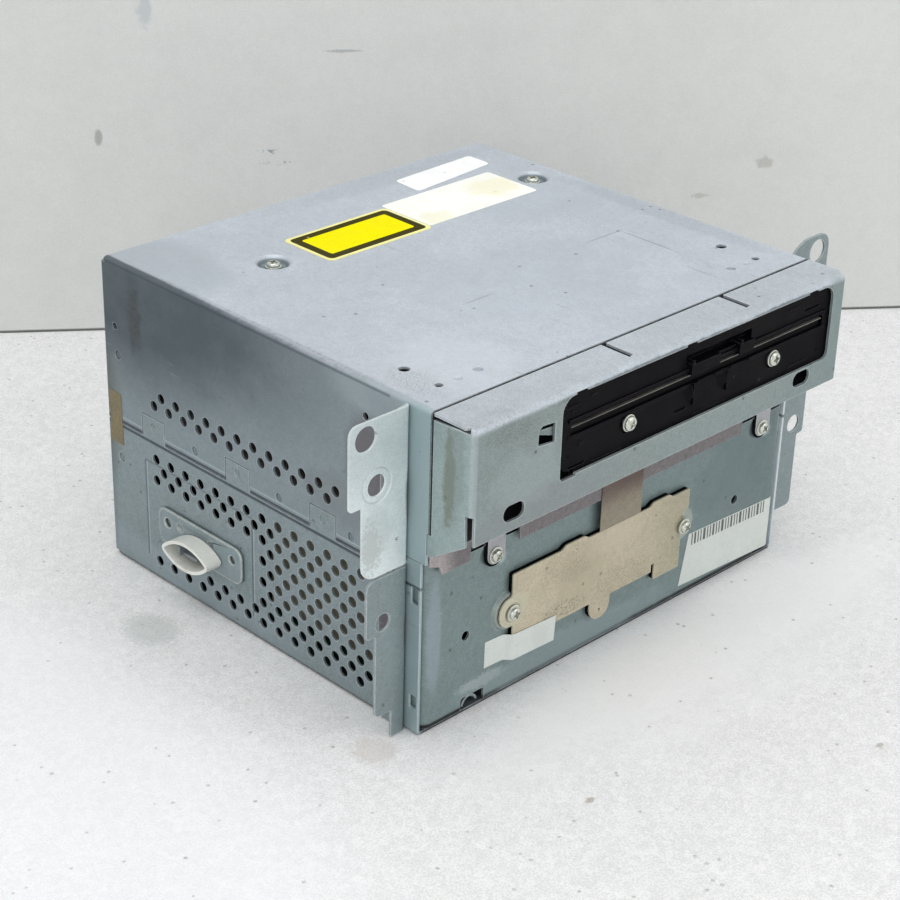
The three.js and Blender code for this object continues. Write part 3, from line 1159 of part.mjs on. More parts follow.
function buildScrews() {
  const sides = ["left", "right"];
  const bezelFace = FRONT - SHROUD_REACH + SHEET + CLEAR;
  const panelFace = depth(PANEL_SETBACK);
  sides.forEach((side, index) => {
    const topPlace = [TOP_SCREW_X[index], depth(TOP_SCREW.depth), CASE_HEIGHT - TOP_SCREW.sink + CLEAR];
    screwAt(`top_screw_${side}`, topPlace, 0);
    screwAt(`bezel_screw_${side}`, [BEZEL_SCREW_X[index], bezelFace - CLEAR, BEZEL_SCREW_HEIGHT],
      HEAD_TO_FRONT);
    screwAt(`panel_screw_${side}`, [PANEL_SCREW_X[index], panelFace - CLEAR, PANEL_SCREW_HEIGHT],
      HEAD_TO_FRONT);
    const coverFace = panelFace - COVER_SCREW.raise - CLEAR - SHEET;
    screwAt(`bay_cover_screw_${side}`, [COVER_SCREW_X[index], coverFace - CLEAR, COVER_SCREW.height],
      HEAD_TO_FRONT,
      SCREW.length - SHEET);
    const rearX = (index ? 1 : -1) * REAR_SCREW_X;
    screwAt(`rear_screw_${side}`, [rearX, REAR + CLEAR, CASE_HEIGHT - REAR_SCREW.drop], HEAD_TO_REAR);
  });
}

function buildDrive() {
  piece("drive_deck", driveDeck(), FINISH.frontZinc);
  piece("drive_chassis", driveChassis(), FINISH.zinc);
  piece("drive_top_plate", driveTopPlate(), FINISH.zinc);
  const inset = CHASSIS_HALF - DAMPER.inset;
  const ends = { front: CHASSIS.front + DAMPER.inset, rear: CHASSIS.rear - DAMPER.inset };
  for (const [side, sign] of [["left", -1], ["right", 1]]) {
    for (const [end, distance] of Object.entries(ends)) {
      piece(`drive_damper_${end}_${side}`, damper(), FINISH.rubber,
        [DISC_X + sign * inset, depth(distance), DECK_HEIGHT + SHEET + CLEAR]);
    }
    piece(`cover_brace_${side}`, brace(sign), FINISH.zinc);
  }
  piece("loading_roller", loadingRoller(), FINISH.rubber, [DISC_X, depth(ROLLER.depth), ROLLER_HEIGHT]);
  const gear = piece("roller_gear", gearWheel(GEAR, ROLLER.shaft + CLEAR), FINISH.gear,
    [GEAR_X, depth(ROLLER.depth), ROLLER_HEIGHT]);
  gear.rotation.y = Math.PI / 2;
  piece("loading_worm", worm(), FINISH.gear, [WORM_X, depth(ROLLER.depth - WORM.length / 2), WORM_HEIGHT]);
  piece("loading_motor", loadingMotor(), FINISH.aluminium,
    [WORM_X, depth(BRACKET.depth) + SHEET + CLEAR, WORM_HEIGHT]);
  piece("traverse_plate", traversePlate(), FINISH.zinc);
  piece("guide_rod_left", guideRod(-1), FINISH.rod);
  piece("guide_rod_right", guideRod(1), FINISH.rod);
  piece("pickup_sled", pickupSled(), FINISH.aluminium);
  piece("pickup_lens", lensHolder(), FINISH.lens);
  piece("feed_screw", feedScrew(), FINISH.rod);
  piece("feed_motor", feedMotor(), FINISH.aluminium,
    [DISC_X + FEED.offset, depth(FEED.front - FEED.motorLength), GUIDE_HEIGHT]);
  piece("spindle_motor", spindleMotor(), FINISH.aluminium);
  piece("turntable", turntable(), FINISH.blackPlastic);
  piece("clamp_puck", clampPuck(), FINISH.blackPlastic);
  piece("clamp_arm", clampArm(), FINISH.zinc);
  piece("clamp_pin", clampPin(), FINISH.rod);
}

function buildElectronics() {
  piece("main_board", mainBoard(), FINISH.board);
  piece("heat_sink", heatSink(), FINISH.aluminium);
  piece("receiver_can", receiverCan(), FINISH.zinc);
  piece("capacitor", capacitor(), FINISH.chip, [CAPACITOR.x, depth(CAPACITOR.depth), PART_FOOT]);
  piece("hard_disk", hardDisk(), FINISH.aluminium);
  piece("disk_caddy", diskCaddy(), FINISH.zinc);
  const fanBack = REAR - SHEET - CLEAR - SHEET - CLEAR;
  const fanPlace = [FAN_X, fanBack - FAN.thickness, FAN_HEIGHT];
  piece("fan_frame", fanFrame(), FINISH.blackPlastic, fanPlace);
  piece("fan_rotor", fanRotor(), FINISH.blackPlastic, fanPlace);
  piece("harness_socket", harnessSocket(), FINISH.blackPlastic);
  ["aerial_jack", "position_jack"].forEach((name, index) => {
    piece(name, aerialJack(), FINISH.rod, [JACK.x[index], REAR, CASE_HEIGHT - JACK.drop]);
  });
  piece("drive_flex", driveFlex(), FINISH.flex);
}

buildCase();
buildScrews();
buildDrive();
buildElectronics();

export default unit;
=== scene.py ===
"""Double-height car navigation unit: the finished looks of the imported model.

Every shell is modelled in millimetres in the model's frame and brought to metres when its mesh is made.
A place on the case is given by X, by its depth behind the front edge of the cover, or by its height.
"""
import json
import logging
import math
import random
import sys
from dataclasses import dataclass, field
from enum import Enum
from typing import Callable, Iterable, Sequence

import bmesh
import bpy
from mathutils import Matrix, Vector


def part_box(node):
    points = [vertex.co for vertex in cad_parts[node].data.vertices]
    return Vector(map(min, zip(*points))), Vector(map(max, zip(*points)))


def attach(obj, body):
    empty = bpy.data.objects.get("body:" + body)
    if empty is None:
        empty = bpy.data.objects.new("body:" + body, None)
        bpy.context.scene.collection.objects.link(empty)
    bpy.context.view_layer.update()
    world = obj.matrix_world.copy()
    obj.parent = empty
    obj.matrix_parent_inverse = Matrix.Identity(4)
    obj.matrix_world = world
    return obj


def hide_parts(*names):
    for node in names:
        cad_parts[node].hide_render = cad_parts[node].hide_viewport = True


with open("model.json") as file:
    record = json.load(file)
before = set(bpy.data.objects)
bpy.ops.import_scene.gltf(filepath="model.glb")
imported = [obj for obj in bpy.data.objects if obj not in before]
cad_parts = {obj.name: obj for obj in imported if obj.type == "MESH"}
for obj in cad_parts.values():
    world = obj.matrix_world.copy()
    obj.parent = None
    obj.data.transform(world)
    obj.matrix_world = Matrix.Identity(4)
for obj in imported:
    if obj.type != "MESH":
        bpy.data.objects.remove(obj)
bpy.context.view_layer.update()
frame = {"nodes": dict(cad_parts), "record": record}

log = logging.getLogger("navigation_unit")

MM = 0.001
Pair = tuple[float, float]
Three = tuple[float, float, float]
Four = tuple[float, float, float, float]
Piece = bpy.types.Object
Socket = bpy.types.NodeSocket
NodeGroup = bpy.types.NodeTree


def span_of(node: str) -> tuple[Vector, Vector]:
    """The lowest and highest corners of a CAD node, in millimetres."""
    low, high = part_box(node)
    return low / MM, high / MM


COVER_LOW, COVER_HIGH = span_of("top_cover")
FRONT = COVER_LOW.y
REAR = COVER_HIGH.y
SIDE = COVER_HIGH.x
TOP = COVER_HIGH.z
DEPTH = REAR - FRONT
SMOOTH_BELOW = math.radians(32)
SHEET = 1.0
BEND = 1.6
SEAM_GAP = 0.3
SEAM = COVER_LOW.z - SEAM_GAP


class Side(Enum):
    """The direction that a flat wall faces."""

    LEFT = (-1, 0, 0)
    RIGHT = (1, 0, 0)
    FRONT = (0, -1, 0)
    BACK = (0, 1, 0)
    BOTTOM = (0, 0, -1)
    TOP = (0, 0, 1)

    @property
    def normal(self) -> Vector:
        """The outward direction."""
        return Vector(self.value)

    def at(self, a: float, b: float, level: float) -> Vector:
        """A point on the wall.

        Args:
            a: X on a front, back, top or bottom wall, and the depth on a left or right wall.
            b: the height on an upright wall, and the depth on a top or bottom wall.
            level: the wall's own place along the direction that it faces.

        Returns:
            The point in millimetres.
        """
        if self in (Side.LEFT, Side.RIGHT):
            return Vector((level, FRONT + a, b))
        if self in (Side.FRONT, Side.BACK):
            return Vector((a, level, b))
        return Vector((a, FRONT + b, level))


HANDS = ((Side.LEFT, -1), (Side.RIGHT, 1))
FACING = Matrix.Rotation(math.radians(90), 4, "X")


def rect(a0: float, a1: float, b0: float, b1: float) -> tuple[Pair, ...]:
    """The corners of a rectangle between two limits each way."""
    return (a0, b0), (a1, b0), (a1, b1), (a0, b1)


@dataclass(frozen=True)
class Hole:
    """A round hole."""

    a: float
    b: float
    radius: float
    sides: int = 24


@dataclass(frozen=True)
class Cut:
    """A hole with straight sides, whose corners may be rounded."""

    points: tuple[Pair, ...]
    radius: float = 0.0
    steps: int = 4

    @staticmethod
    def box(a0: float, a1: float, b0: float, b1: float, radius: float = 0.0, steps: int = 4) -> "Cut":
        """A rectangular cut between two limits each way."""
        return Cut(rect(a0, a1, b0, b1), radius, steps)


@dataclass(frozen=True)
class Press:
    """A round form pressed into the sheet in steps of (radius, depth), which may have a hole in its floor."""

    a: float
    b: float
    steps: tuple[Pair, ...]
    pierced: bool = False
    sides: int = 32


def outward(faces: Iterable, middle: Vector, axis: Vector | None = None) -> None:
    """Turns faces away from a point, or away from the line through it along an axis."""
    for item in faces:
        item.normal_update()
        out = item.calc_center_median() - middle
        if axis:
            out -= out.dot(axis) * axis
        if item.normal.dot(out) < 0:
            item.normal_flip()


class Mesh:
    """A bmesh in millimetres with the few operations that the unit's pieces need."""

    def __init__(self) -> None:
        """Starts an empty mesh."""
        self.bm = bmesh.new()

    def ring(self, centre: Vector, normal: Vector, radius: float, sides: int, filled: bool = False) -> list:
        """Adds a circle.

        Args:
            centre: its centre.
            normal: the direction that it faces.
            radius: its radius.
            sides: how many sides it has.
            filled: whether it has a face.

        Returns:
            Its vertices.
        """
        turn = Vector((0, 0, 1)).rotation_difference(normal).to_matrix().to_4x4()
        made = bmesh.ops.create_circle(
            self.bm, cap_ends=filled, cap_tris=False, segments=sides, radius=radius,
            matrix=Matrix.Translation(centre) @ turn,
        )
        return made["verts"]

    def polygon(self, points: Sequence[Vector], radii: Sequence[float], steps: int = 4) -> tuple:
        """Adds a flat face whose corners may be rounded.

        Args:
            points: its corners in order.
            radii: the radius at each corner, or 0.
            steps: segments in each rounded corner.

        Returns:
            The face and its boundary edges.
        """
        corners = [self.bm.verts.new(point) for point in points]
        face = self.bm.faces.new(corners)
        for radius in sorted(set(r for r in radii if r > 0)):
            chosen = [v for v, r in zip(corners, radii) if r == radius]
            made = bmesh.ops.bevel(
                self.bm, geom=chosen, offset=radius, offset_type="OFFSET", segments=steps, profile=0.5,
                affect="VERTICES", clamp_overlap=False, material=-1,
            )
            known = set(made["verts"])
            face = next((f for v in known for f in v.link_faces), face)
        return face, list(face.edges)

    def fill(self, edges: Iterable, normal: Vector) -> None:
        """Fills closed loops, leaving the inner ones open, and turns the faces towards normal."""
        made = bmesh.ops.triangle_fill(
            self.bm, use_beauty=True, use_dissolve=False, edges=list(edges), normal=normal
        )
        self.face([item for item in made["geom"] if isinstance(item, bmesh.types.BMFace)], normal)

    def face(self, faces: Iterable, normal: Vector) -> None:
        """Turns each face so that it looks along normal."""
        wrong = []
        for item in faces:
            item.normal_update()
            if item.normal.dot(normal) < 0:
                wrong.append(item)
        if wrong:
            bmesh.ops.reverse_faces(self.bm, faces=wrong)

    def spin_edge(
        self, start: Vector, end: Vector, centre: Vector, axis: Vector, degrees: float, steps: int
    ) -> None:
        """Sweeps an edge round an axis into a bend whose outer side faces away from the axis."""
        pair = [self.bm.verts.new(start), self.bm.verts.new(end)]
        edge = self.bm.edges.new(pair)
        before = set(self.bm.faces)
        bmesh.ops.spin(
            self.bm, geom=[*pair, edge], cent=centre, axis=axis, dvec=(0, 0, 0), angle=math.radians(degrees),
            steps=steps, use_merge=False, use_duplicate=False,
        )
        outward([item for item in self.bm.faces if item not in before], centre, axis.normalized())

    def lathe(self, profile: Sequence[Pair], sides: int, place: Matrix = Matrix.Identity(4)) -> None:
        """Spins a profile of (radius, height) pairs round Z and puts it at place."""
        verts = [self.bm.verts.new((radius, 0, height)) for radius, height in profile]
        edges = [self.bm.edges.new(pair) for pair in zip(verts, verts[1:])]
        before = set(self.bm.verts) - set(verts)
        bmesh.ops.spin(
            self.bm, geom=[*verts, *edges], cent=(0, 0, 0), axis=(0, 0, 1), dvec=(0, 0, 0), angle=2 * math.pi,
            steps=sides, use_merge=True, use_duplicate=False,
        )
        new = [v for v in self.bm.verts if v not in before]
        bmesh.ops.remove_doubles(self.bm, verts=new, dist=1e-4)
        new = [v for v in self.bm.verts if v not in before]
        faces = list({f for v in new for f in v.link_faces})
        bmesh.ops.recalc_face_normals(self.bm, faces=faces)
        bmesh.ops.transform(self.bm, matrix=place, verts=new)

    def prism(
        self, points: Sequence[Vector], push: Vector, radii: Sequence[float] = (), steps: int = 4
    ) -> None:
        """Adds a solid from a flat outline pushed along a vector.

        Args:
            points: the outline's corners in order.
            push: how far and which way it is pushed.
            radii: the radius at each corner, or nothing for sharp corners.
            steps: segments in each rounded corner.
        """
        face, _ = self.polygon(points, radii or [0] * len(points), steps)
        made = bmesh.ops.extrude_face_region(self.bm, geom=[face], use_keep_orig=True)
        top = [item for item in made["geom"] if isinstance(item, bmesh.types.BMVert)]
        bmesh.ops.translate(self.bm, vec=push, verts=top)
        faces = list({f for v in {*top, *face.verts} for f in v.link_faces})
        bmesh.ops.recalc_face_normals(self.bm, faces=faces)

    def slab(
        self, outline: Iterable[Pair], level: float, thick: float, radii: Sequence[float] = (), steps: int = 4
    ) -> None:
        """Adds an upright plate.

        Args:
            outline: its corners as (x, z).
            level: the y of its first face.
            thick: how far it reaches back from there, or forward if negative.
            radii: the radius at each corner, or nothing for sharp corners.
            steps: segments in each rounded corner.
        """
        self.prism([Vector((x, level, z)) for x, z in outline], Vector((0, thick, 0)), radii, steps)

    def block(self, low: Sequence[float], high: Sequence[float]) -> None:
        """Adds a box between two corners."""
        low, high = Vector(low), Vector(high)
        matrix = Matrix.Translation((low + high) / 2) @ Matrix.Diagonal((*(high - low), 1))
        bmesh.ops.create_cube(self.bm, size=1, matrix=matrix)

    def slice(self, places: Iterable[float]) -> None:
        """Cuts new edges through the mesh at each of some places along X."""
        for place in places:
            geometry = [*self.bm.verts, *self.bm.edges, *self.bm.faces]
            bmesh.ops.bisect_plane(self.bm, geom=geometry, plane_co=(place, 0, 0), plane_no=(1, 0, 0))

    def object(self, name: str, merge: float = 1e-3) -> Piece:
        """Makes the mesh an object in metres, at the origin.

        Args:
            name: the object's name.
            merge: how close two vertices are welded, in millimetres, or 0 for not at all.

        Returns:
            The new object.
        """
        if merge:
            bmesh.ops.remove_doubles(self.bm, verts=self.bm.verts, dist=merge)
        self.bm.transform(Matrix.Scale(MM, 4))
        data = bpy.data.meshes.new(name)
        self.bm.to_mesh(data)
        self.bm.free()
        made = bpy.data.objects.new(name, data)
        bpy.context.scene.collection.objects.link(made)
        return made


class Shell(Mesh):
    """A folded sheet: flat walls joined by round bends, which is given its thickness at the end."""

    def wall(
        self,
        side: Side,
        level: float,
        outline: Sequence[Pair],
        radii: Sequence[float] | float = 0.0,
        cuts: Iterable[Hole | Cut] = (),
        presses: Iterable[Press] = (),
    ) -> None:
        """Adds a flat wall with its holes and pressed forms.

        Args:
            side: the way that the wall faces.
            level: its place along that direction.
            outline: its corners.
            radii: one radius for all corners, or one for each.
            cuts: holes through it.
            presses: forms pressed into it.
        """
        if isinstance(radii, (int, float)):
            radii = [radii] * len(outline)
        face, edges = self.polygon([side.at(a, b, level) for a, b in outline], radii)
        bmesh.ops.delete(self.bm, geom=[face], context="FACES_ONLY")
        for cut in cuts:
            edges += self.cut_edges(side, level, cut)
        for press in presses:
            edges += self.press(side, level, press)
        self.fill([edge for edge in edges if edge.is_valid], side.normal)

    def cut_edges(self, side: Side, level: float, cut: Hole | Cut) -> list:
        """The boundary edges of one hole."""
        if isinstance(cut, Hole):
            verts = self.ring(side.at(cut.a, cut.b, level), side.normal, cut.radius, cut.sides)
            return list({edge for v in verts for edge in v.link_edges})
        face, edges = self.polygon(
            [side.at(a, b, level) for a, b in cut.points], [cut.radius] * len(cut.points), cut.steps
        )
        bmesh.ops.delete(self.bm, geom=[face], context="FACES_ONLY")
        return edges

    def press(self, side: Side, level: float, press: Press) -> list:
        """Adds a pressed form and returns the edges of its rim."""
        before = set(self.bm.faces)
        centre = side.at(press.a, press.b, level)
        verts = self.ring(centre, side.normal, press.steps[0][0], press.sides, filled=True)
        face = next(iter(verts[0].link_faces))
        self.face([face], side.normal)
        for (wide, high), (narrow, low) in zip(press.steps, press.steps[1:]):
            bmesh.ops.inset_individual(self.bm, faces=[face], thickness=wide - narrow, depth=low - high,
                                       use_even_offset=True)
        rim = [edge for item in set(self.bm.faces) - before for edge in item.edges if edge.is_boundary]
        if press.pierced:
            bmesh.ops.delete(self.bm, geom=[face], context="FACES_ONLY")
        return rim

    def corner(self, start: Vector, wide: float, tall: float, way: int = 1, steps: int = 8) -> None:
        """Closes the corner where a wall's top bend meets its side bend with a rounded patch.

        Args:
            start: the wall's own corner.
            wide: the side bend's radius, negative toward the left.
            tall: the top bend's radius.
            way: 1 for a front wall and -1 for a rear one.
            steps: segments each way.
        """
        rows = []
        arc = [math.radians(90 * j / steps) for j in range(1, steps + 1)]
        for k in range(steps + 1):
            turn = math.radians(90 * k / steps)
            up, out = math.cos(turn), math.sin(turn)
            deep = tall * up * up + abs(wide) * out * out
            rows.append([
                self.bm.verts.new(start + Vector((
                    wide * out * math.sin(t), way * deep * (1 - math.cos(t)), tall * up * math.sin(t),
                ))) for t in arc
            ])
        tip = self.bm.verts.new(start)
        middle = start + Vector((0, way * max(abs(wide), tall), 0))
        made = []
        for first, second in zip(rows, rows[1:]):
            made.append(self.bm.faces.new((tip, first[0], second[0])))
            for j in range(steps - 1):
                made.append(self.bm.faces.new((first[j], first[j + 1], second[j + 1], second[j])))
        outward(made, middle)

    def fold(
        self, side: Side, other: Side, start: Vector, end: Vector, radius: float = BEND, steps: int = 6
    ) -> None:
        """Bends the sheet round a straight edge from one wall to the next.

        Args:
            side: the wall that the bend starts from.
            other: the wall that it ends in.
            start: one end of the line where the first wall stops.
            end: its other end.
            radius: the outer radius.
            steps: segments in the bend.
        """
        self.spin_edge(start, end, start - side.normal * radius, side.normal.cross(other.normal), 90, steps)

    def upright_fold(
        self, side: Side, other: Side, place: Pair, span: Pair, radius: float = BEND, steps: int = 6
    ) -> None:
        """Bends the sheet round an upright edge.

        Args:
            side: the wall that the bend starts from.
            other: the wall that it ends in.
            place: the x and y where the first wall stops.
            span: the heights that the bend runs between.
            radius: the outer radius.
            steps: segments in the bend.
        """
        start, end = (Vector((*place, height)) for height in span)
        self.fold(side, other, start, end, radius, steps)

    def object(
        self, name: str, merge: float = 1e-2, thickness: float = SHEET, edge: float = 0.12
    ) -> Piece:
        """Makes the sheet an object with its thickness inwards and its cut edges rounded.

        Args:
            name: the object's name.
            merge: how close two vertices are welded, in millimetres.
            thickness: the thickness of the sheet.
            edge: how far its cut edges are rounded, or 0 for not at all.

        Returns:
            The new object.
        """
        made = super().object(name, merge)
        solid = made.modifiers.new("thickness", "SOLIDIFY")
        solid.thickness = thickness * MM
        solid.offset = -1
        solid.use_even_offset = True
        if edge:
            soften(made, edge, 1)
        return settle(made)


def soften(made: Piece, width: float, segments: int = 2, angle: float = 50) -> Piece:
    """Adds a bevel to the sharp edges. The width is in millimetres and the angle in degrees."""
    bevel = made.modifiers.new("edges", "BEVEL")
    bevel.width = width * MM
    bevel.segments = segments
    bevel.limit_method = "ANGLE"
    bevel.angle_limit = math.radians(angle)
    bevel.harden_normals = False
    return made


def settle(made: Piece) -> Piece:
    """Applies the modifiers and shades the mesh smooth where it bends only a little."""
    weigh = made.modifiers.get("flat_faces")
    if weigh:
        made.modifiers.remove(weigh)
    graph = bpy.context.evaluated_depsgraph_get()
    graph.update()
    data = bpy.data.meshes.new_from_object(made.evaluated_get(graph))
    old = made.data
    made.modifiers.clear()
    made.data = data
    data.name = made.name
    bpy.data.meshes.remove(old)
    data.polygons.foreach_set("use_smooth", [True] * len(data.polygons))
    data.set_sharp_from_angle(angle=SMOOTH_BELOW)
    weigh = made.modifiers.new("flat_faces", "WEIGHTED_NORMAL")
    weigh.weight = 100
    weigh.keep_sharp = True
    return made


def carve(made: Piece, cutter: Piece) -> Piece:
    """Cuts one object out of another and removes the cutter."""
    cut = made.modifiers.new("cut", "BOOLEAN")
    cut.operation = "DIFFERENCE"
    cut.solver = "EXACT"
    cut.object = cutter
    settle(made)
    bpy.data.objects.remove(cutter)
    return made


Value = Socket | float | tuple
NOWHERE = (0.0, 0.0, 0.0)


class Tree:
    """A node tree with short calls for the nodes that the finishes use."""

    def __init__(self, tree: NodeGroup) -> None:
        """Takes the tree that the nodes go into."""
        self.tree = tree

    def add(self, kind: str, **settings: object) -> bpy.types.Node:
        """Adds a node of a kind and sets its properties."""
        node = self.tree.nodes.new(kind)
        for key, value in settings.items():
            setattr(node, key, value)
        return node

    def put(self, socket: Socket, value: Value) -> None:
        """Links a socket into an input, or sets the input's own value."""
        if isinstance(value, Socket):
            self.tree.links.new(value, socket)
        else:
            socket.default_value = value

    def give(self, node: bpy.types.Node, values: dict[str, Value]) -> bpy.types.Node:
        """Fills several inputs of a node by name and returns the node."""
        for name, value in values.items():
            self.put(node.inputs[name], value)
        return node

    def math(self, operation: str, first: Value, second: Value = 0.0) -> Socket:
        """One arithmetic step."""
        node = self.add("ShaderNodeMath", operation=operation)
        self.put(node.inputs[0], first)
        self.put(node.inputs[1], second)
        return node.outputs[0]

    def times(self, first: Value, second: Value) -> Socket:
        """One value times another."""
        return self.math("MULTIPLY", first, second)

    def partly(self, mask: Value, share: Value) -> Socket:
        """A mask that counts by a share, and as 1 for the rest."""
        return self.math("ADD", self.times(mask, share), self.math("SUBTRACT", 1, share))

    def vector(self, operation: str, first: Value, second: Value = (0, 0, 0)) -> bpy.types.Node:
        """One step of vector arithmetic."""
        node = self.add("ShaderNodeVectorMath", operation=operation)
        self.put(node.inputs[0], first)
        self.put(node.inputs[1], second)
        return node

    def between(
        self, value: Value, low: Value, high: Value, start: float = 0, end: float = 1
    ) -> Socket:
        """Eases from start to end as the value goes from low to high."""
        node = self.add("ShaderNodeMapRange", interpolation_type="SMOOTHSTEP", clamp=True)
        for socket, given in zip(node.inputs[:5], (value, low, high, start, end)):
            self.put(socket, given)
        return node.outputs[0]

    def mix(self, share: Value, first: Value, second: Value, blend: str = "MIX") -> Socket:
        """Blends two colours."""
        node = self.add("ShaderNodeMix", data_type="RGBA", blend_type=blend, clamp_factor=True)
        self.put(node.inputs["Factor"], share)
        colours = [socket for socket in node.inputs if socket.type == "RGBA"]
        for socket, value in zip(colours, (first, second)):
            self.put(socket, value)
        return next(s for s in node.outputs if s.type == "RGBA")

    def stretch(
        self, vector: Value, place: Sequence[float], turn: Sequence[float], scale: Sequence[float]
    ) -> Socket:
        """Moves, turns and scales the coordinates of a pattern."""
        node = self.add("ShaderNodeMapping", vector_type="POINT")
        for socket, given in zip(node.inputs, (vector, place, turn, scale)):
            self.put(socket, given)
        return node.outputs[0]

    def noise(
        self, vector: Value, scale: Value, detail: float = 3.0, rough: float = 0.55
    ) -> Socket:
        """Cloudy noise between 0 and 1."""
        given = {"Vector": vector, "Scale": scale, "Detail": detail, "Roughness": rough}
        return self.give(self.add("ShaderNodeTexNoise"), given).outputs[0]

    def cells(self, vector: Value, scale: Value) -> bpy.types.Node:
        """A field of cells, for grain and specks."""
        return self.give(self.add("ShaderNodeTexVoronoi", feature="F1"), {"Vector": vector, "Scale": scale})

    def split(self, vector: Value) -> list:
        """The three parts of a vector."""
        node = self.add("ShaderNodeSeparateXYZ")
        self.put(node.inputs[0], vector)
        return list(node.outputs)


class Effect(Enum):
    """A surface effect that several finishes share, built once as a node group."""

    GRAIN = "zinc_grain"
    SCUFFS = "scuffs"
    SPECKS = "specks"
    PATCH = "patch"
    LINE = "scored_line"
    EDGES = "edge_wear_and_painted_light"

    def group(self) -> NodeGroup:
        """The node group, which is built the first time it is asked for."""
        known = bpy.data.node_groups.get(self.value)
        return known or EFFECT_MAKERS[self]()


def open_group(effect: Effect, inputs: dict[str, object], outputs: Iterable[str]) -> tuple:
    """Starts a node group.

    Args:
        effect: the effect that the group is for.
        inputs: the default of each input by name, three numbers for a vector.
        outputs: the names of the values that come out.

    Returns:
        The tree, the group's inputs by name and a function that links its outputs.
    """
    group = bpy.data.node_groups.new(effect.value, "ShaderNodeTree")
    for name, value in inputs.items():
        kind = "NodeSocketVector" if isinstance(value, tuple) else "NodeSocketFloat"
        socket = group.interface.new_socket(name, in_out="INPUT", socket_type=kind)
        socket.default_value = value
    for name in outputs:
        group.interface.new_socket(name, in_out="OUTPUT", socket_type="NodeSocketFloat")
    tree = Tree(group)
    start = tree.add("NodeGroupInput")
    end = tree.add("NodeGroupOutput")

    def close(**values: Socket) -> NodeGroup:
        """Links the values that come out and returns the group."""
        tree.give(end, values)
        return group

    return tree, {name: start.outputs[name] for name in inputs}, close


def grain_group() -> NodeGroup:
    """Cloudy zinc with a fine crystal grain: a broad tone, a fine tone and a height."""
    inputs = {"Vector": NOWHERE, "Scale": 1.0}
    tree, given, close = open_group(Effect.GRAIN, inputs, ("Cloud", "Grain", "Height"))
    place = tree.stretch(given["Vector"], (0.13, 0.07, 0.19), (0.2, 0.1, 0.3), (1, 1, 1))
    broad, middle, fine = (
        tree.noise(place, tree.times(given["Scale"], size), detail, rough)
        for size, detail, rough in ((24, 5, 0.62), (130, 4, 0.6), (2300, 3, 0.65))
    )
    crystal = tree.cells(place, tree.times(given["Scale"], 620))
    cloud = tree.math("ADD", tree.times(broad, 0.6), tree.times(middle, 0.4))
    speckle = tree.math("ADD", tree.times(fine, 0.88), tree.times(crystal.outputs["Color"], 0.12))
    return close(Cloud=tree.between(cloud, 0.34, 0.66), Grain=tree.between(speckle, 0.3, 0.7), Height=fine)


def scuffs_group() -> NodeGroup:
    """Thin scratches that run two ways, gathered in patches."""
    tree, given, close = open_group(Effect.SCUFFS, {"Vector": NOWHERE, "Amount": 0.5}, ("Mask",))
    masks = []
    for turn, size in (((0.3, 0.5, 0.7), 95), ((1.2, 0.2, -0.9), 130)):
        across = tree.stretch(given["Vector"], (turn[0], turn[1], 0.4), turn, (1, 0.055, 0.4))
        streak = tree.noise(across, size * 9, 2, 0.45)
        masks.append(tree.between(streak, 0.66, 0.72))
    both = tree.math("MAXIMUM", *masks)
    patch = tree.noise(given["Vector"], 38, 3, 0.6)
    edge = tree.math("SUBTRACT", 0.78, tree.times(given["Amount"], 0.3))
    gathered = tree.between(patch, edge, tree.math("ADD", edge, 0.12))
    return close(Mask=tree.times(both, gathered))


def specks_group() -> NodeGroup:
    """Small scattered dots of dirt or bare metal."""
    inputs = {"Vector": NOWHERE, "Scale": 220.0, "Amount": 0.3}
    tree, given, close = open_group(Effect.SPECKS, inputs, ("Mask",))
    field_of = tree.cells(given["Vector"], given["Scale"])
    near = tree.between(field_of.outputs["Distance"], 0.08, 0.2, 1, 0)
    parts = tree.add("ShaderNodeSeparateColor")
    tree.put(parts.inputs[0], field_of.outputs["Color"])
    few = tree.math("LESS_THAN", parts.outputs[0], tree.times(given["Amount"], 0.16))
    ragged = tree.between(tree.noise(given["Vector"], 2600, 2), 0.35, 0.55)
    return close(Mask=tree.times(tree.times(near, few), ragged))


def patch_group() -> NodeGroup:
    """A soft ragged patch round a place, for one stain, scuff or rubbed area, and also for patches of painted
    shade, shadow and highlight.
    """
    inputs = {"Vector": NOWHERE, "Centre": NOWHERE, "Size": (0.01, 0.01, 0.01), "Ragged": 0.5,
              "Grain": 300.0, "Broken": 0.0}
    tree, given, close = open_group(Effect.PATCH, inputs, ("Mask",))
    gap = tree.vector("SUBTRACT", given["Vector"], given["Centre"]).outputs[0]
    away = tree.vector("LENGTH", tree.vector("DIVIDE", gap, given["Size"]).outputs[0])
    rough = tree.math("SUBTRACT", tree.noise(given["Vector"], given["Grain"], 4, 0.65), 0.5)
    moved = tree.math("ADD", away.outputs["Value"], tree.times(rough, given["Ragged"]))
    dots = tree.between(tree.noise(given["Vector"], tree.times(given["Grain"], 2), 3, 0.6), 0.5, 0.6)
    return close(Mask=tree.times(tree.between(moved, 0.55, 1.05, 1, 0), tree.partly(dots, given["Broken"])))


def line_group() -> NodeGroup:
    """A thin straight line across one direction, between two places along another."""
    inputs = {"Across": 0.0, "Along": 0.0, "Place": 0.0, "Low": 0.0, "High": 1.0, "Width": 0.0003}
    tree, given, close = open_group(Effect.LINE, inputs, ("Mask",))
    away = tree.math("ABSOLUTE", tree.math("SUBTRACT", given["Across"], given["Place"]))
    thin = tree.between(away, tree.times(given["Width"], 0.4), given["Width"], 1, 0)
    inside = tree.times(tree.math("GREATER_THAN", given["Along"], given["Low"]),
                       tree.math("LESS_THAN", given["Along"], given["High"]))
    return close(Mask=tree.times(thin, inside))


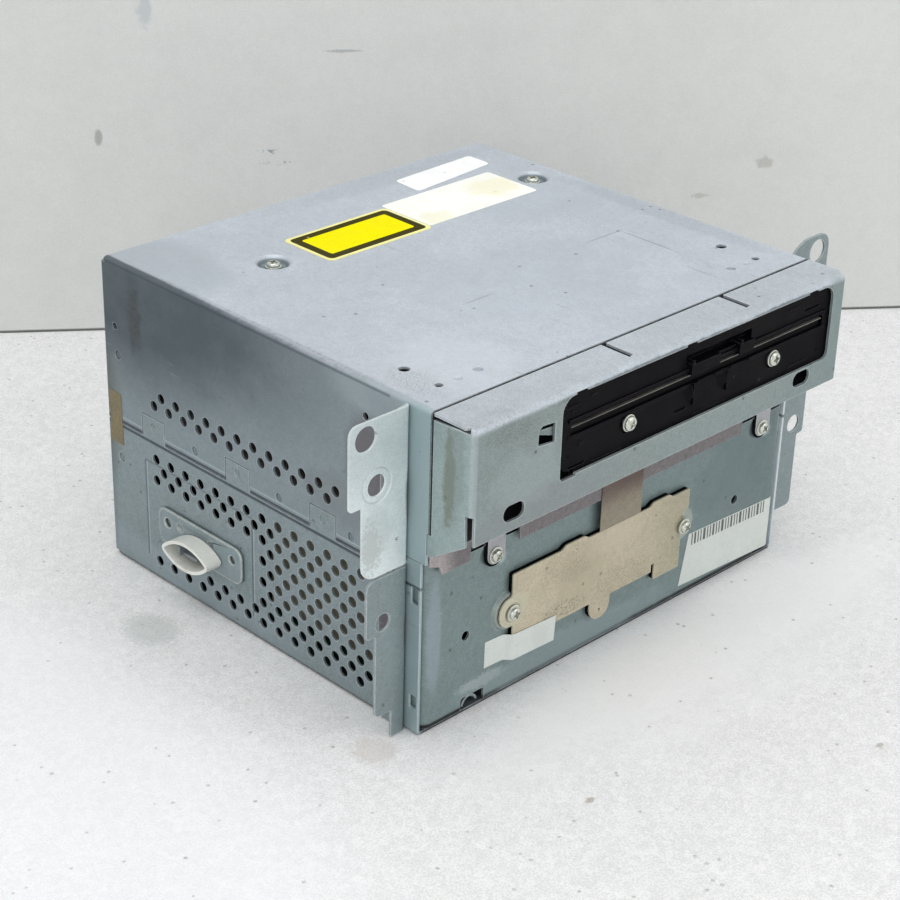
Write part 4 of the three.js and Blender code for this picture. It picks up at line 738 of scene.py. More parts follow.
def edges_group() -> NodeGroup:
    """Marks edges and corners: rubbed metal on the sheets, a painted highlight along the edges of the black
    mouldings and the boss plate, and painted shade on the screws' edges.
    """
    inputs = {"Vector": NOWHERE, "Radius": 0.0006, "Ragged": 0.5}
    tree, given, close = open_group(Effect.EDGES, inputs, ("Mask",))
    round_off = tree.add("ShaderNodeBevel", samples=4)
    tree.put(round_off.inputs["Radius"], given["Radius"])
    flat = tree.add("ShaderNodeNewGeometry")
    dot = tree.vector("DOT_PRODUCT", round_off.outputs[0], flat.outputs["Normal"])
    bent = tree.between(dot.outputs["Value"], 0.9, 0.995, 1, 0)
    broken = tree.between(tree.noise(given["Vector"], 420, 3, 0.6), 0.3, 0.62)
    return close(Mask=tree.times(bent, tree.partly(broken, given["Ragged"])))


EFFECT_MAKERS: dict[Effect, Callable[[], NodeGroup]] = {
    Effect.GRAIN: grain_group,
    Effect.SCUFFS: scuffs_group,
    Effect.SPECKS: specks_group,
    Effect.PATCH: patch_group,
    Effect.LINE: line_group,
    Effect.EDGES: edges_group,
}

Colour = Three
BUMP_DEPTH = 0.4
SPECK_STRENGTH = 0.75


def tint(red: float, green: float, blue: float) -> Four:
    """A colour on the screen, in parts of 255, as Blender's linear colour."""
    parts = (red, green, blue)
    return (*(((c / 255 + 0.055) / 1.055) ** 2.4 if c > 10 else c / 255 / 12.92 for c in parts), 1.0)


@dataclass(frozen=True)
class Mark:
    """One patch on a surface: where it lies and how far it reaches, in millimetres, and its colour."""

    centre: Three
    size: Three
    colour: Colour
    strength: float = 0.5
    ragged: float = 0.8
    grain: float = 300.0
    broken: float = 0.0


@dataclass(frozen=True)
class Line:
    """A thin line at a place across one axis, between two places along another, in millimetres."""

    across: int
    place: float
    along: int
    low: float
    high: float
    colour: Colour
    width: float = 0.3
    strength: float = 0.6


@dataclass(frozen=True)
class Fade:
    """A slow change to another colour along an axis, in millimetres."""

    axis: int
    start: float
    end: float
    colour: Colour
    strength: float = 1.0


@dataclass(frozen=True)
class Finish:
    """A surface finish: its colour and gloss, its texture, and what has marked it; some of its fades, marks,
    lines and edge tones are painted light and shade.
    """

    name: str
    colour: Colour
    metallic: float = 0.0
    roughness: float = 0.5
    rough_spread: float = 0.12
    cloud: float = 0.12
    grain: float = 0.1
    scale: float = 1.0
    bump: float = 0.05
    scuffs: float = 0.0
    scuff_colour: Colour = (225, 228, 232)
    scuff_strength: float = 0.5
    specks: float = 0.0
    speck_colour: Colour = (70, 66, 60)
    # Edge tone: rubbed edges on the sheets, a painted highlight on the black mouldings and the boss plate,
    # painted shade on the screws.
    edge_wear_and_light: float = 0.0
    edge_wear_and_light_colour: Colour = (226, 229, 232)
    edge_wear_and_light_radius: float = 0.6
    coat: float = 0.0
    specular: float = 0.5
    fades: tuple[Fade, ...] = ()
    marks: tuple[Mark, ...] = ()
    lines: tuple[Line, ...] = ()

    def material(self) -> bpy.types.Material:
        """The material, which is made the first time it is asked for."""
        known = bpy.data.materials.get(self.name)
        if known:
            return known
        made = bpy.data.materials.new(self.name)
        made.use_nodes = True
        made.node_tree.nodes.clear()
        tree = Tree(made.node_tree)
        coords = tree.add("ShaderNodeTexCoord").outputs["Object"]
        shader = tree.add("ShaderNodeBsdfPrincipled")
        out = tree.add("ShaderNodeOutputMaterial")
        tree.put(out.inputs["Surface"], shader.outputs[0])
        grain = self.effect(tree, Effect.GRAIN, Vector=coords, Scale=self.scale)
        ground = self.ground(tree, coords, grain)
        smooth, rough = self.roughness - self.rough_spread, self.roughness + self.rough_spread
        relief = {"Strength": self.bump, "Distance": BUMP_DEPTH * MM, "Height": grain["Height"]}
        tree.give(shader, {
            "Base Color": self.worn_and_edge_lit(tree, coords, self.marked(tree, coords, ground)),
            "Metallic": self.metallic,
            "Coat Weight": self.coat,
            "Specular IOR Level": self.specular,
            "Roughness": tree.between(grain["Cloud"], 0, 1, smooth, rough),
            "Normal": tree.give(tree.add("ShaderNodeBump"), relief).outputs[0],
        })
        return made

    def effect(self, tree: Tree, effect: Effect, **given: Value) -> dict:
        """Places a shared effect with this finish's own values and returns its outputs by name."""
        node = tree.give(tree.add("ShaderNodeGroup", node_tree=effect.group()), given)
        return {socket.name: socket for socket in node.outputs}

    def over(
        self, tree: Tree, under: Value, colour: Colour, strength: float, effect: Effect, **given: Value
    ) -> Socket:
        """One colour laid over another where an effect shows.

        Args:
            tree: the material's tree.
            under: the colour so far.
            colour: the colour that is laid over it.
            strength: how much of it shows.
            effect: the effect whose mask is used.
            given: the effect's own values.

        Returns:
            The new colour.
        """
        mask = self.effect(tree, effect, **given)["Mask"]
        return tree.mix(tree.times(mask, strength), under, tint(*colour))

    def ground(self, tree: Tree, coords: Value, grain: dict) -> Socket:
        """The colour of the sheet itself, with its clouds, its grain and its slow changes."""
        colour: Value = tint(*self.colour)
        parts = tree.split(coords)
        for fade in self.fades:
            share = tree.between(parts[fade.axis], fade.start * MM, fade.end * MM, 0, fade.strength)
            colour = tree.mix(share, colour, tint(*fade.colour))
        for key, amount in (("Cloud", self.cloud), ("Grain", self.grain)):
            tone = tree.between(grain[key], 0, 1, 1 - amount, 1 + amount)
            shade = tree.add("ShaderNodeCombineColor")
            for socket in shade.inputs[:3]:
                tree.put(socket, tone)
            colour = tree.mix(1.0, colour, shade.outputs[0], "MULTIPLY")
        return colour

    def marked(self, tree: Tree, coords: Value, colour: Value) -> Socket:
        """The colour with its own patches and lines over it."""
        parts = tree.split(coords)
        for mark in self.marks:
            colour = self.over(
                tree, colour, mark.colour, mark.strength, Effect.PATCH, Vector=coords,
                Centre=tuple(c * MM for c in mark.centre), Size=tuple(c * MM for c in mark.size),
                Ragged=mark.ragged, Grain=mark.grain, Broken=mark.broken,
            )
        for line in self.lines:
            colour = self.over(
                tree, colour, line.colour, line.strength, Effect.LINE, Across=parts[line.across],
                Along=parts[line.along], Place=line.place * MM, Low=line.low * MM, High=line.high * MM,
                Width=line.width * MM,
            )
        return colour

    def worn_and_edge_lit(self, tree: Tree, coords: Value, colour: Value) -> Socket:
        """The colour with its scratches and specks over it, and its edge tone: rubbed bright edges on the
        sheets, painted highlights on the black mouldings and the boss plate, painted shade on the screws.
        """
        for amount, shown, strength, effect, given in (
            (self.scuffs, self.scuff_colour, self.scuff_strength, Effect.SCUFFS, {"Amount": self.scuffs}),
            (self.specks, self.speck_colour, SPECK_STRENGTH, Effect.SPECKS, {"Amount": self.specks}),
            (self.edge_wear_and_light, self.edge_wear_and_light_colour, self.edge_wear_and_light, Effect.EDGES, {"Radius": self.edge_wear_and_light_radius * MM}),
        ):
            if amount:
                colour = self.over(tree, colour, shown, strength, effect, Vector=coords, **given)
        return colour


def fit(
    piece: Piece, finish: Finish, replaces: Sequence[str] = (), body: str = "unit"
) -> None:
    """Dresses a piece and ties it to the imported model.

    Args:
        piece: the object.
        finish: its finish.
        replaces: the CAD nodes that it stands for.
        body: the body that it moves with.
    """
    piece.data.materials.clear()
    piece.data.materials.append(finish.material())
    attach(piece, body)
    for node in replaces:
        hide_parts(node)
    log.info("%s: %d faces", piece.name, len(piece.data.polygons))


def eased(mesh: Mesh, name: str, width: float = 0.0, merge: float = 1e-3) -> Piece:
    """Makes a mesh an object whose sharp edges are rounded by a width in millimetres."""
    made = mesh.object(name, merge)
    return settle(soften(made, width) if width else made)


ZINC_MARKS = (
    # The first two darken the rear and top of the left side: painted shade.
    Mark((-90, 84, 111), (2.4, 140, 52), (60, 72, 80), 0.5, 0.3, 40),
    Mark((-90, 84, 112), (2.4, 100, 38), (60, 72, 80), 0.66, 0.5, 40),
    Mark((-90, 88, 62), (3, 14, 46), (84, 94, 98), 0.75, 0.3, 60),
    Mark((-90, -60, 111), (3, 30, 9), (156, 169, 174), 0.5, 0.3, 60),
    Mark((-90, 63, 97), (3, 4.5, 14), (50, 44, 42), 0.6, 1.6, 300, 0.3),
    Mark((-90, 77, 58), (3, 6, 26), (112, 110, 100), 0.5, 1.2, 500, 0.5),
    # Reddish dark patch behind the upper left ear, seen through its holes: painted shade of the ear.
    Mark((-90, -52, 87), (3, 11, 19), (100, 92, 96), 0.75, 0.3, 100),
    Mark((-90, -38, 70), (3, 16, 10), (118, 122, 124), 0.4, 1.2, 160),
)
TOP_MARKS = (
    Mark((-62, -60, 115), (26, 24, 3), (226, 232, 238), 0.25, 1.0, 60),
    Mark((10, -30, 115), (50, 34, 3), (188, 196, 206), 0.3, 1.0, 40),
    Mark((60, 20, 115), (30, 24, 3), (184, 192, 202), 0.35, 1.0, 60),
    Mark((-82, 60, 115), (24, 36, 3), (170, 178, 186), 0.5, 0.6, 40),
    Mark((84, -20, 115), (6, 60, 3), (150, 158, 168), 0.4, 1.0, 500, 0.5),
    Mark((40, 72, 115), (60, 8, 3), (160, 168, 176), 0.35, 1.0, 500, 0.5),
    Mark((-88.6, 0, 115), (2.2, 90, 3), (104, 114, 122), 0.45, 0.7, 300, 0.5),
    Mark((-79, -62, 115), (8, 14, 3), (112, 104, 96), 0.45, 1.2, 900, 1.0),
    Mark((60, -34, 115), (0.5, 16, 3), (120, 126, 136), 0.5, 0.5, 400),
    Mark((52, -20, 115), (12, 0.45, 3), (126, 132, 142), 0.45, 0.5, 400),
    Mark((-20, -30, 115), (9, 0.5, 3), (130, 136, 144), 0.4, 0.6, 400),
)
TOP_ZINC = Finish(
    "top_zinc", (197, 203, 212), metallic=0.35, cloud=0.03, scuffs=0.8,
    scuff_colour=(142, 148, 158), scuff_strength=0.55, specks=0.5, edge_wear_and_light=0.45,
    # Below the top bend the fade darkens the side walls to the tray's tone, so the roof of the same sheet is
    # painted lighter: painted light from above.
    fades=(Fade(2, 114.8, 113.3, (132, 144, 149)),),
    # The last mark lightens the left side between the upper ear and the shroud: a painted highlight where the
    # ear shades the wall.
    marks=TOP_MARKS + ZINC_MARKS + (Mark((-90, -75, 88), (3, 12, 50), (164, 184, 187), 0.85, 0.2, 60),),
    lines=(
        Line(2, 113.7, 1, -62, 78, (58, 70, 78), 0.6, 0.5),
        # The next two: a dark line just above the seam, painted shade in the gap, and a pale line above it, a
        # painted highlight.
        Line(2, SEAM + 0.9, 1, -80, 80, (30, 44, 56), 0.8, 0.85),
        Line(2, SEAM + 2.6, 1, -80, 80, (186, 198, 206), 0.5, 0.35),
        # Dark line along the cover's front edge: painted shade in the gap to the shroud.
        Line(1, -80, 0, -92, 92, (24, 36, 44), 0.6, 0.95),
    ),
)
SIDE_ZINC = Finish(
    "side_zinc", (133, 146, 149), metallic=0.35, roughness=0.48, cloud=0.05, grain=0.15, bump=0.07,
    scuffs=0.8, scuff_colour=(92, 100, 104), specks=0.9, edge_wear_and_light=0.5,
    # Darker towards the foot: a painted contact shadow.
    fades=(Fade(2, 1.7, 0.5, (26, 30, 32)),),
    marks=ZINC_MARKS + (
        Mark((-90, 40, 8), (3, 60, 8), (150, 163, 170), 0.5, 1.2, 60),
        Mark((-90, 88, 30), (3, 12, 50), (98, 108, 112), 0.6, 0.3, 60),
        # Painted highlight on the left wall in front of the lower left ear, where the ear shades it.
        Mark((-90, -75, 30), (3, 10, 52), (162, 182, 186), 0.8, 0.3, 60),
        # Painted highlight on the tray's right front edge, which lies in shade.
        Mark((89.6, -76.4, 30), (2, 3, 60), (214, 222, 226), 0.9, 0.2, 60),
    ),
    lines=(
        # Dark line just below the seam: painted shade in the gap.
        Line(2, SEAM - 0.9, 1, -80, 80, (30, 44, 56), 0.8, 0.8),
        # Paired dark and pale lines round a flat rectangle: painted shade and highlight standing for an
        # embossed step.
        Line(1, 60, 2, 8, 45.5, (78, 92, 100), 0.5, 0.7),
        Line(1, 59.2, 2, 8, 45.5, (186, 196, 202), 0.4, 0.45),
        Line(1, 3, 2, 8, 45.5, (78, 92, 100), 0.5, 0.75),
        Line(1, 2.2, 2, 8, 45.5, (186, 196, 202), 0.4, 0.45),
        Line(2, 45.5, 1, 3, 60, (84, 98, 106), 0.5, 0.6),
    ),
)
PANEL_ZINC = Finish(
    "panel_zinc", (124, 140, 140), metallic=0.35, roughness=0.46, cloud=0.04, grain=0.14, bump=0.06,
    scuffs=0.6, scuff_colour=(176, 186, 188), specks=0.8, edge_wear_and_light=0.4,
    # The second fade darkens the foot: a painted contact shadow.
    fades=(Fade(0, 20, 84, (112, 127, 128)), Fade(2, 3.3, 2.3, (20, 25, 26))),
    marks=(
        # Pale patches round the two bay cover screw bosses: painted highlights on the raised bosses.
        Mark((-51.5, -78, 31.2), (8, 3, 8), (186, 190, 172), 0.6, 0.5),
        Mark((33, -78, 31.2), (9, 3, 8.4), (182, 190, 178), 0.6, 0.5),
        # Lighter band at the start of the left bend: painted highlight.
        Mark((-84, -77, 34), (3.5, 6, 26), (160, 172, 184), 0.45, 0.7, 120),
        # Small pale patches below and right of the panel screws: painted highlights on the screw dishes.
        Mark((-54.8, -77.4, 51.8), (3.4, 3, 3.4), (196, 210, 210), 0.7, 0.6),
        Mark((79.2, -77.4, 51.8), (3.4, 3, 3.4), (196, 210, 210), 0.7, 0.6),
        # Lighter band on the right bend: painted highlight where the bend turns from the light.
        Mark((88.2, -75, 30), (2.2, 6, 50), (206, 216, 220), 0.7, 0.3, 120),
        Mark((-62, -77, 9), (12, 3, 3), (205, 212, 214), 0.35, 1.7, 500),
        Mark((-20, -77, 6), (60, 3, 7), (150, 165, 168), 0.5, 1.3, 60),
        Mark((60, -77, 40), (26, 3, 16), (106, 122, 125), 0.5, 1.2, 70),
    ),
)
SHROUD_MARKS = (
    Mark((-89.8, -87.6, 95), (3, 3.0, 19), (118, 120, 100), 0.6, 1.3, 420),
    Mark((-89.8, -89.5, 100), (3, 5, 22), (120, 132, 128), 0.35, 1.2, 200),
    # Pale strip on the left upright corner: painted highlight on the bend.
    Mark((-89.2, -96.8, 97), (1.6, 1.6, 40), (182, 192, 194), 0.4, 0.3),
    Mark((-74, -97, 110), (17, 4, 4.6), (66, 63, 60), 0.42, 1.8, 1100, 0.9),
    Mark((-80, -94, 114.6), (12, 5, 3), (110, 104, 98), 0.35, 1.8, 1100, 0.9),
    Mark((-70, -97, 96), (22, 4, 16), (104, 112, 112), 0.35, 1.6, 900, 0.9),
    Mark((-8, -97.2, 112.7), (52, 2.4, 1.5), (72, 82, 90), 0.7, 0.8, 500),
    Mark((56, -97.2, 112.7), (28, 2.4, 1.5), (72, 82, 90), 0.7, 0.8, 500),
    Mark((-66, -97, 92), (18, 3, 12), (166, 176, 178), 0.35, 1.0, 90),
    Mark((-60, -97, 80), (40, 3, 8), (136, 136, 140), 0.3, 1.2, 120),
    Mark((84, -97, 96), (7, 4, 20), (130, 146, 146), 0.5, 1.0, 90),
)
SHROUD_ZINC = Finish(
    "shroud_zinc", (138, 150, 149), metallic=0.35, roughness=0.46, cloud=0.04, grain=0.13, bump=0.06,
    scuffs=0.7, scuff_colour=(188, 196, 198), specks=0.9, edge_wear_and_light=0.6,
    # The first fade lightens the left corner bend: painted highlight. The last lightens the roll bend and the
    # roof to the roof's tone: painted light from above.
    fades=(Fade(0, -88.6, -89.7, (156, 172, 171)), Fade(0, 40, 89, (126, 141, 141), 0.6),
           Fade(2, 112.2, 114.4, (190, 197, 204))),
    marks=SHROUD_MARKS,
)
REAR_ZINC = Finish(
    "rear_zinc", (150, 160, 168), metallic=0.35, cloud=0.08, scuffs=0.6, specks=0.5,
    edge_wear_and_light=0.4,
)
EAR_LEAF_PAINTED_SHADE = (
    # Reddish dark patches on the left ears' leaves, seen through the ears' holes: painted shade of the ears.
    Mark((-90.4, -66, 85), (2.4, 10, 12), (88, 80, 84), 0.9, 0.3, 200),
    Mark((-90.4, -65, 38), (2.4, 10, 10), (84, 77, 82), 0.9, 0.3, 200),
)
EAR_ZINC = Finish(
    "ear_zinc_pale", (218, 228, 228), metallic=0.15, roughness=0.42, cloud=0.03, grain=0.08, scuffs=0.5,
    scuff_colour=(232, 238, 238), specks=0.5, edge_wear_and_light=0.6, fades=(Fade(2, 86, 104, (198, 209, 210)),),
    marks=EAR_LEAF_PAINTED_SHADE + (
        Mark((-106, -71, 72), (5, 3, 10), (132, 126, 116), 0.35, 2.2, 900),
        Mark((-104, -71, 76), (8, 3, 10), (190, 200, 200), 0.4, 1.2, 120),
    ),
)
EAR_GREY_ZINC = Finish(
    "ear_zinc_grey", (135, 148, 150), metallic=0.35, roughness=0.45, cloud=0.04, grain=0.12, scuffs=0.6,
    scuff_colour=(205, 212, 214), specks=0.6, edge_wear_and_light=0.7, marks=EAR_LEAF_PAINTED_SHADE,
)
TAB_ZINC = Finish(
    "tab_zinc", (168, 168, 172), metallic=0.4, roughness=0.4, cloud=0.08, scuffs=0.5, specks=0.5, edge_wear_and_light=0.7,
)
# Its bright edge tone is a painted highlight along the plate's edges.
BOSS_ZINC = Finish(
    "boss_plate_zinc", (138, 152, 156), metallic=0.4, roughness=0.4, cloud=0.09, grain=0.08, scuffs=0.5,
    edge_wear_and_light=1.0, edge_wear_and_light_colour=(222, 224, 214), edge_wear_and_light_radius=0.9,
)
BARE_STEEL = Finish(
    "bare_steel_plate", (194, 184, 160), metallic=0.2, cloud=0.05, grain=0.14, bump=0.06, scuffs=0.7,
    scuff_colour=(208, 198, 174), specks=1.4, speck_colour=(96, 90, 68),
    edge_wear_and_light=0.5, edge_wear_and_light_colour=(222, 216, 196),
    fades=(Fade(0, 2, 36, (168, 163, 140), 0.9),),
    marks=(
        Mark((-18, -79.5, 32), (15, 3, 13), (178, 169, 144), 0.5, 0.9, 260),
        Mark((2, -79.5, 22), (18, 3, 9), (124, 117, 94), 0.45, 1.4, 700, 0.8),
        Mark((-28, -79.5, 22), (15, 3, 5), (88, 84, 64), 0.5, 1.6, 500, 0.9),
        Mark((-24, -79.5, 38), (18, 3, 9), (128, 120, 98), 0.4, 1.4, 700, 0.8),
        # Pale patch round the dished left ear: painted highlight on the dish.
        Mark((-51.5, -79.5, 31.2), (9, 3, 8), (200, 200, 176), 0.6, 0.7, 260),
        Mark((-4, -79.5, 40), (20, 3, 5), (202, 190, 170), 0.4, 1.2, 200),
    ),
)
DECK_ZINC = Finish(
    "deck_zinc", (122, 117, 119), metallic=0.3, cloud=0.06, grain=0.2, bump=0.07, scuffs=0.6,
    # The second fade darkens the lip's lower edge: painted shade in the gap above the panel.
    specks=1.0, edge_wear_and_light=0.3, fades=(Fade(0, -76, -84, (170, 162, 162)), Fade(2, 57.3, 56.5, (34, 36, 38))),
)
INNER_ZINC = Finish(
    "inner_zinc", (140, 146, 150), metallic=0.4, cloud=0.1, grain=0.06, scuffs=0.4, specks=0.2,
)
# The liner's colour is darkened below the bare sheet's tone: partly its own colour, partly painted shade
# inside the vents.
LINER_TIN = Finish(
    "liner_tin", (122, 119, 102), metallic=0.2, roughness=0.55, cloud=0.2, specks=0.6,
)
# Its dark edge tone darkens the head's rim and the cross recess: painted shade.
SCREW_STEEL = Finish(
    "screw_steel_bright", (216, 218, 208), metallic=0.8, roughness=0.26, rough_spread=0.08, cloud=0.08,
    grain=0.05, bump=0.03, scuffs=0.4, edge_wear_and_light=0.85, edge_wear_and_light_colour=(40, 44, 42), edge_wear_and_light_radius=0.22,
)
BRIGHT_STEEL = Finish(
    "bright_steel_rod", (196, 198, 200), metallic=0.95, roughness=0.2, rough_spread=0.06, cloud=0.05,
    grain=0.04, bump=0.02, scuffs=0.3,
)
CAST_METAL = Finish(
    "cast_metal_grey", (150, 152, 154), metallic=0.7, roughness=0.45, cloud=0.1, grain=0.12, bump=0.14,
    specks=0.2,
)
# Its pale edge tone is a painted highlight along the mouldings' edges.
BLACK_PLASTIC = Finish(
    "black_moulding", (9, 7, 11), rough_spread=0.08, cloud=0.15, grain=0.25, bump=0.08, scuffs=0.45,
    scuff_colour=(54, 54, 60), scuff_strength=0.3, specks=0.6, speck_colour=(70, 66, 62), edge_wear_and_light=0.5,
    edge_wear_and_light_colour=(104, 104, 110), edge_wear_and_light_radius=0.2, specular=0.06,
)
DARK_BRISTLE = Finish(
    "dark_bristle", (17, 17, 19), roughness=0.85, cloud=0.3, grain=0.5, bump=0.3, specular=0.2,
)
# Black for pieces that stand for shade behind vents and openings and in gaps round plates and tabs: painted
# shade.
PAINTED_SHADE_BLACK = Finish("painted_shade_black", (10, 12, 12), roughness=0.9, cloud=0.2, grain=0.2, specular=0.05)
SLOT_LIP = Finish("slot_lip_grey", (104, 101, 96), roughness=0.45, cloud=0.3, grain=0.2, specks=0.4)
WHITE_PLASTIC = Finish(
    "white_moulding", (230, 230, 223), roughness=0.42, cloud=0.04, grain=0.05, specks=0.3,
    speck_colour=(130, 122, 106), edge_wear_and_light=0.3, edge_wear_and_light_colour=(240, 240, 234),
    marks=(Mark((-94, 30, 16), (6, 12, 2.5), (196, 190, 172), 0.5, 1.1),),
)
RUBBER = Finish("roller_rubber", (40, 40, 42), roughness=0.8, cloud=0.15, grain=0.3, bump=0.2, specks=0.6)
CIRCUIT = Finish(
    "circuit_board_green", (34, 74, 54), roughness=0.35, cloud=0.25, grain=0.2, bump=0.2, specks=1.0,
    speck_colour=(196, 190, 160), coat=0.3,
)
GEAR_PLASTIC = Finish(
    "gear_plastic_ivory", (206, 200, 182), roughness=0.45, cloud=0.06, grain=0.05, specks=0.2,
)
LENS_GLASS = Finish(
    "lens_assembly_dark", (44, 50, 74), roughness=0.12, rough_spread=0.04, cloud=0.1, grain=0.04, coat=0.8,
)
FLEX_FILM = Finish("flex_film_amber", (150, 104, 52), roughness=0.35, grain=0.08, coat=0.3)
YELLOW_PAPER = Finish(
    "label_yellow", (250, 238, 0), roughness=0.6, cloud=0.02, grain=0.04, bump=0.03, specks=0.4,
    speck_colour=(150, 142, 20), scuffs=0.4, scuff_colour=(244, 238, 150), specular=0.05,
)
YELLOW_BORDER = Finish(
    "label_border", (250, 243, 160), cloud=0.04, grain=0.04, specks=0.3, specular=0.3,
    marks=(Mark((20, 38, 115), (14, 20, 3), (246, 244, 200), 0.5, 1.0, 200),),
)
OLIVE_FRAME = Finish(
    "label_frame", (62, 57, 12), roughness=0.6, grain=0.14, scuffs=0.6, scuff_colour=(150, 144, 60),
    specks=0.8, speck_colour=(226, 220, 150), specular=0.1,
)
CREAM_PAPER = Finish(
    "label_cream", (255, 255, 247), roughness=0.6, cloud=0.03, grain=0.04, bump=0.03, specks=0.6,
    speck_colour=(206, 198, 150), scuffs=0.4, scuff_colour=(252, 252, 248),
    marks=(Mark((58, 40, 115), (14, 10, 3), (246, 238, 196), 0.5, 1.4, 200),
           Mark((20, 30, 115), (8, 8, 3), (238, 232, 190), 0.4, 1.4, 200)),
)
WHITE_PAPER = Finish(
    "label_white", (255, 255, 255), roughness=0.6, cloud=0.03, grain=0.04, bump=0.04, specks=0.35,
    speck_colour=(180, 180, 176),
)
FRONT_PAPER = Finish(
    "label_front", (212, 217, 212), roughness=0.6, cloud=0.03, grain=0.05, bump=0.04, specks=0.4,
    speck_colour=(150, 154, 150), marks=(Mark((-38, -79, 17), (5, 3, 6), (202, 206, 202), 0.6, 0.6, 200),),
)
INK = Finish("label_ink", (96, 100, 100), roughness=0.6, cloud=0.2, grain=0.3)
COPPER_TAPE = Finish(
    "copper_tape", (142, 134, 116), metallic=0.15, cloud=0.06, grain=0.16, bump=0.06, scuffs=0.6,
    scuff_colour=(176, 164, 146), specks=0.8, fades=(Fade(2, 50, 61, (98, 82, 74)),),
    marks=(Mark((3, -79, 62), (12, 4, 5), (92, 76, 68), 0.5, 1.6, 500, 0.7),),
)
BROWN_TAPE = Finish(
    "brown_tape", (120, 110, 84), roughness=0.7, cloud=0.16, grain=0.16, bump=0.1, specks=1.0,
    speck_colour=(96, 88, 70),
)


@dataclass
class Case:
    """The outer case: a top cover over a vented tray, a rear panel and the liner behind the vents."""

    vent_radius: float = 1.9
    vent_sides: int = 20
    vent_pitch: float = 8.0
    vent_lead: float = 30.0
    vent_foot: float = 7.5
    vent_rise: float = 4.0
    vent_rows: tuple[Pair, ...] = (
        (0, 135), (-4, 108), (0, 80), (-4, 80), (0, 80), (4, 80), (0, 80), (4, 80), (0, 135), (4, 135),
        (0, 135),
    )
    cover_vents: tuple[Pair, ...] = ((42, 72), (46, 68))
    cover_vent_count: int = 12
    roof_lances: tuple[Pair, ...] = ((-58.9, 12), (62.4, 12))
    roof_dimples: tuple[Pair, ...] = ((-67.9, 11.6), (69.8, 11.6))
    roof_holes: tuple[Three, ...] = ((75.6, 27, 1.9), (75.6, 12, 1.4))
    side_lances: tuple[Pair, ...] = ((153, 80.5), (112.1, 59.3), (69, 59), (34.6, 58.8))
    side_holes: tuple[Pair, ...] = ((28.4, 103.2), (154, 91))
    side_hole_radius: float = 1.3
    feet: tuple[Pair, ...] = ((66, 26), (66, 138))
    floor_slots: tuple[float, ...] = (64, 76, 88, 100)
    windows: tuple[Four, ...] = ((4.2, 7.2, 47.4, 53.2), (4.2, 7.2, 9.5, 14.2))
    tray_lance: Pair = (153.5, 41.0)
    tab_dimple: float = 59.5
    tab_places: tuple[float, ...] = (48.0, 90.0, 134.8)
    tab_half: float = 6.0
    tab_top: float = 63.0
    tray_front: float = 3.3
    tongue_end: float = 14.0
    tongue_top: float = 62.6
    jog: Pair = (1.2, 74.2)
    screw_x: Pair = (-50.3, 76.2)
    screw_depth: float = 117.5
    rear_screw_x: float = 70.0
    rear_screw_height: float = 110.0
    lip_foot: float = 106.0
    lip_rise: float = 9.0
    rear_level: float = 78.7
    rear_span: Pair = (1.3, 113.7)
    rear_half: float = 87.5
    rear_bend: float = 1.2
    rear_wall: float = 8.8
    rear_seats: tuple[Pair, ...] = ((-80, 96), (80, 58), (-80, 8), (20, 58))
    rear_lances: tuple[Pair, ...] = ((-40, 96), (40, 96))
    rear_rounds: tuple[tuple[Pair, tuple[Pair, ...]], ...] = (
        ((56, 82), ((15, 0), (14, -0.6), (9, -0.6))), ((-56, 82), ((13, 0), (12, -0.6), (8, -0.6))),
    )
    grille: Three = (-52.0, 34.0, 18.6)
    grille_pitch: float = 6.6
    grille_radius: float = 2.6
    fan_screw: float = 16.0
    plug_hole: Four = (26.7, 83.3, 8.6, 33.3)
    jack_holes: tuple[Three, ...] = ((2, 82, 6.4), (-14, 82, 6.4))
    dish: tuple[Pair, ...] = ((6.6, 0), (5.8, -0.6), (4.4, -1.7), (3.6, -2), (1.9, -2))
    dimple: tuple[Pair, ...] = ((1.6, 0), (1.25, -0.65), (0.6, -0.8))
    lance: tuple[Pair, ...] = ((1.7, 0), (1.5, -0.9), (1.0, -0.9))
    foot_dish: tuple[Pair, ...] = ((7, 0), (6.4, 0), (5.2, -0.9), (1.7, -0.9))
    rear_dish: tuple[Pair, ...] = ((5, 0), (4.2, -0.7), (1.6, -0.7))

    def build(self) -> None:
        """Builds the case and dresses it."""
        self.cover()
        self.tray()
        self.rear_panel()
        self.liner()

    def cover(self) -> None:
        """The top cover: a roof with dished screw seats, two side walls and a rear lip."""
        shell = Shell()
        half, end, edge = SIDE - BEND, DEPTH - BEND, TOP - BEND
        presses = [Press(x, self.screw_depth, self.dish, True) for x in self.screw_x]
        presses += [Press(*place, self.lance) for place in self.roof_lances]
        presses += [Press(*place, self.dimple) for place in self.roof_dimples]
        holes = [Hole(sign * x, depth, radius) for x, depth, radius in self.roof_holes for sign in (-1, 1)]
        shell.wall(Side.TOP, TOP, rect(-half, half, 0, end), 0, holes, presses)
        for side, sign in HANDS:
            shell.fold(Side.TOP, side, *(Side.TOP.at(sign * half, depth, TOP) for depth in (0, end)))
            lances = [Press(*place, self.lance) for place in self.side_lances]
            shell.wall(side, sign * SIDE, self.cover_side(edge, end), 0, self.cover_side_holes(), lances)
            shell.corner(Vector((sign * half, REAR, edge)), sign * BEND, BEND, -1, 6)
        shell.fold(Side.TOP, Side.BACK, Side.TOP.at(-half, end, TOP), Side.TOP.at(half, end, TOP))
        screws = [Hole(sign * self.rear_screw_x, self.rear_screw_height, 1.8) for sign in (-1, 1)]
        shell.wall(Side.BACK, REAR, rect(-half, half, self.lip_foot, edge), (3, 3, 0, 0), screws)
        fit(shell.object("cover_shell"), TOP_ZINC, ["top_cover"])

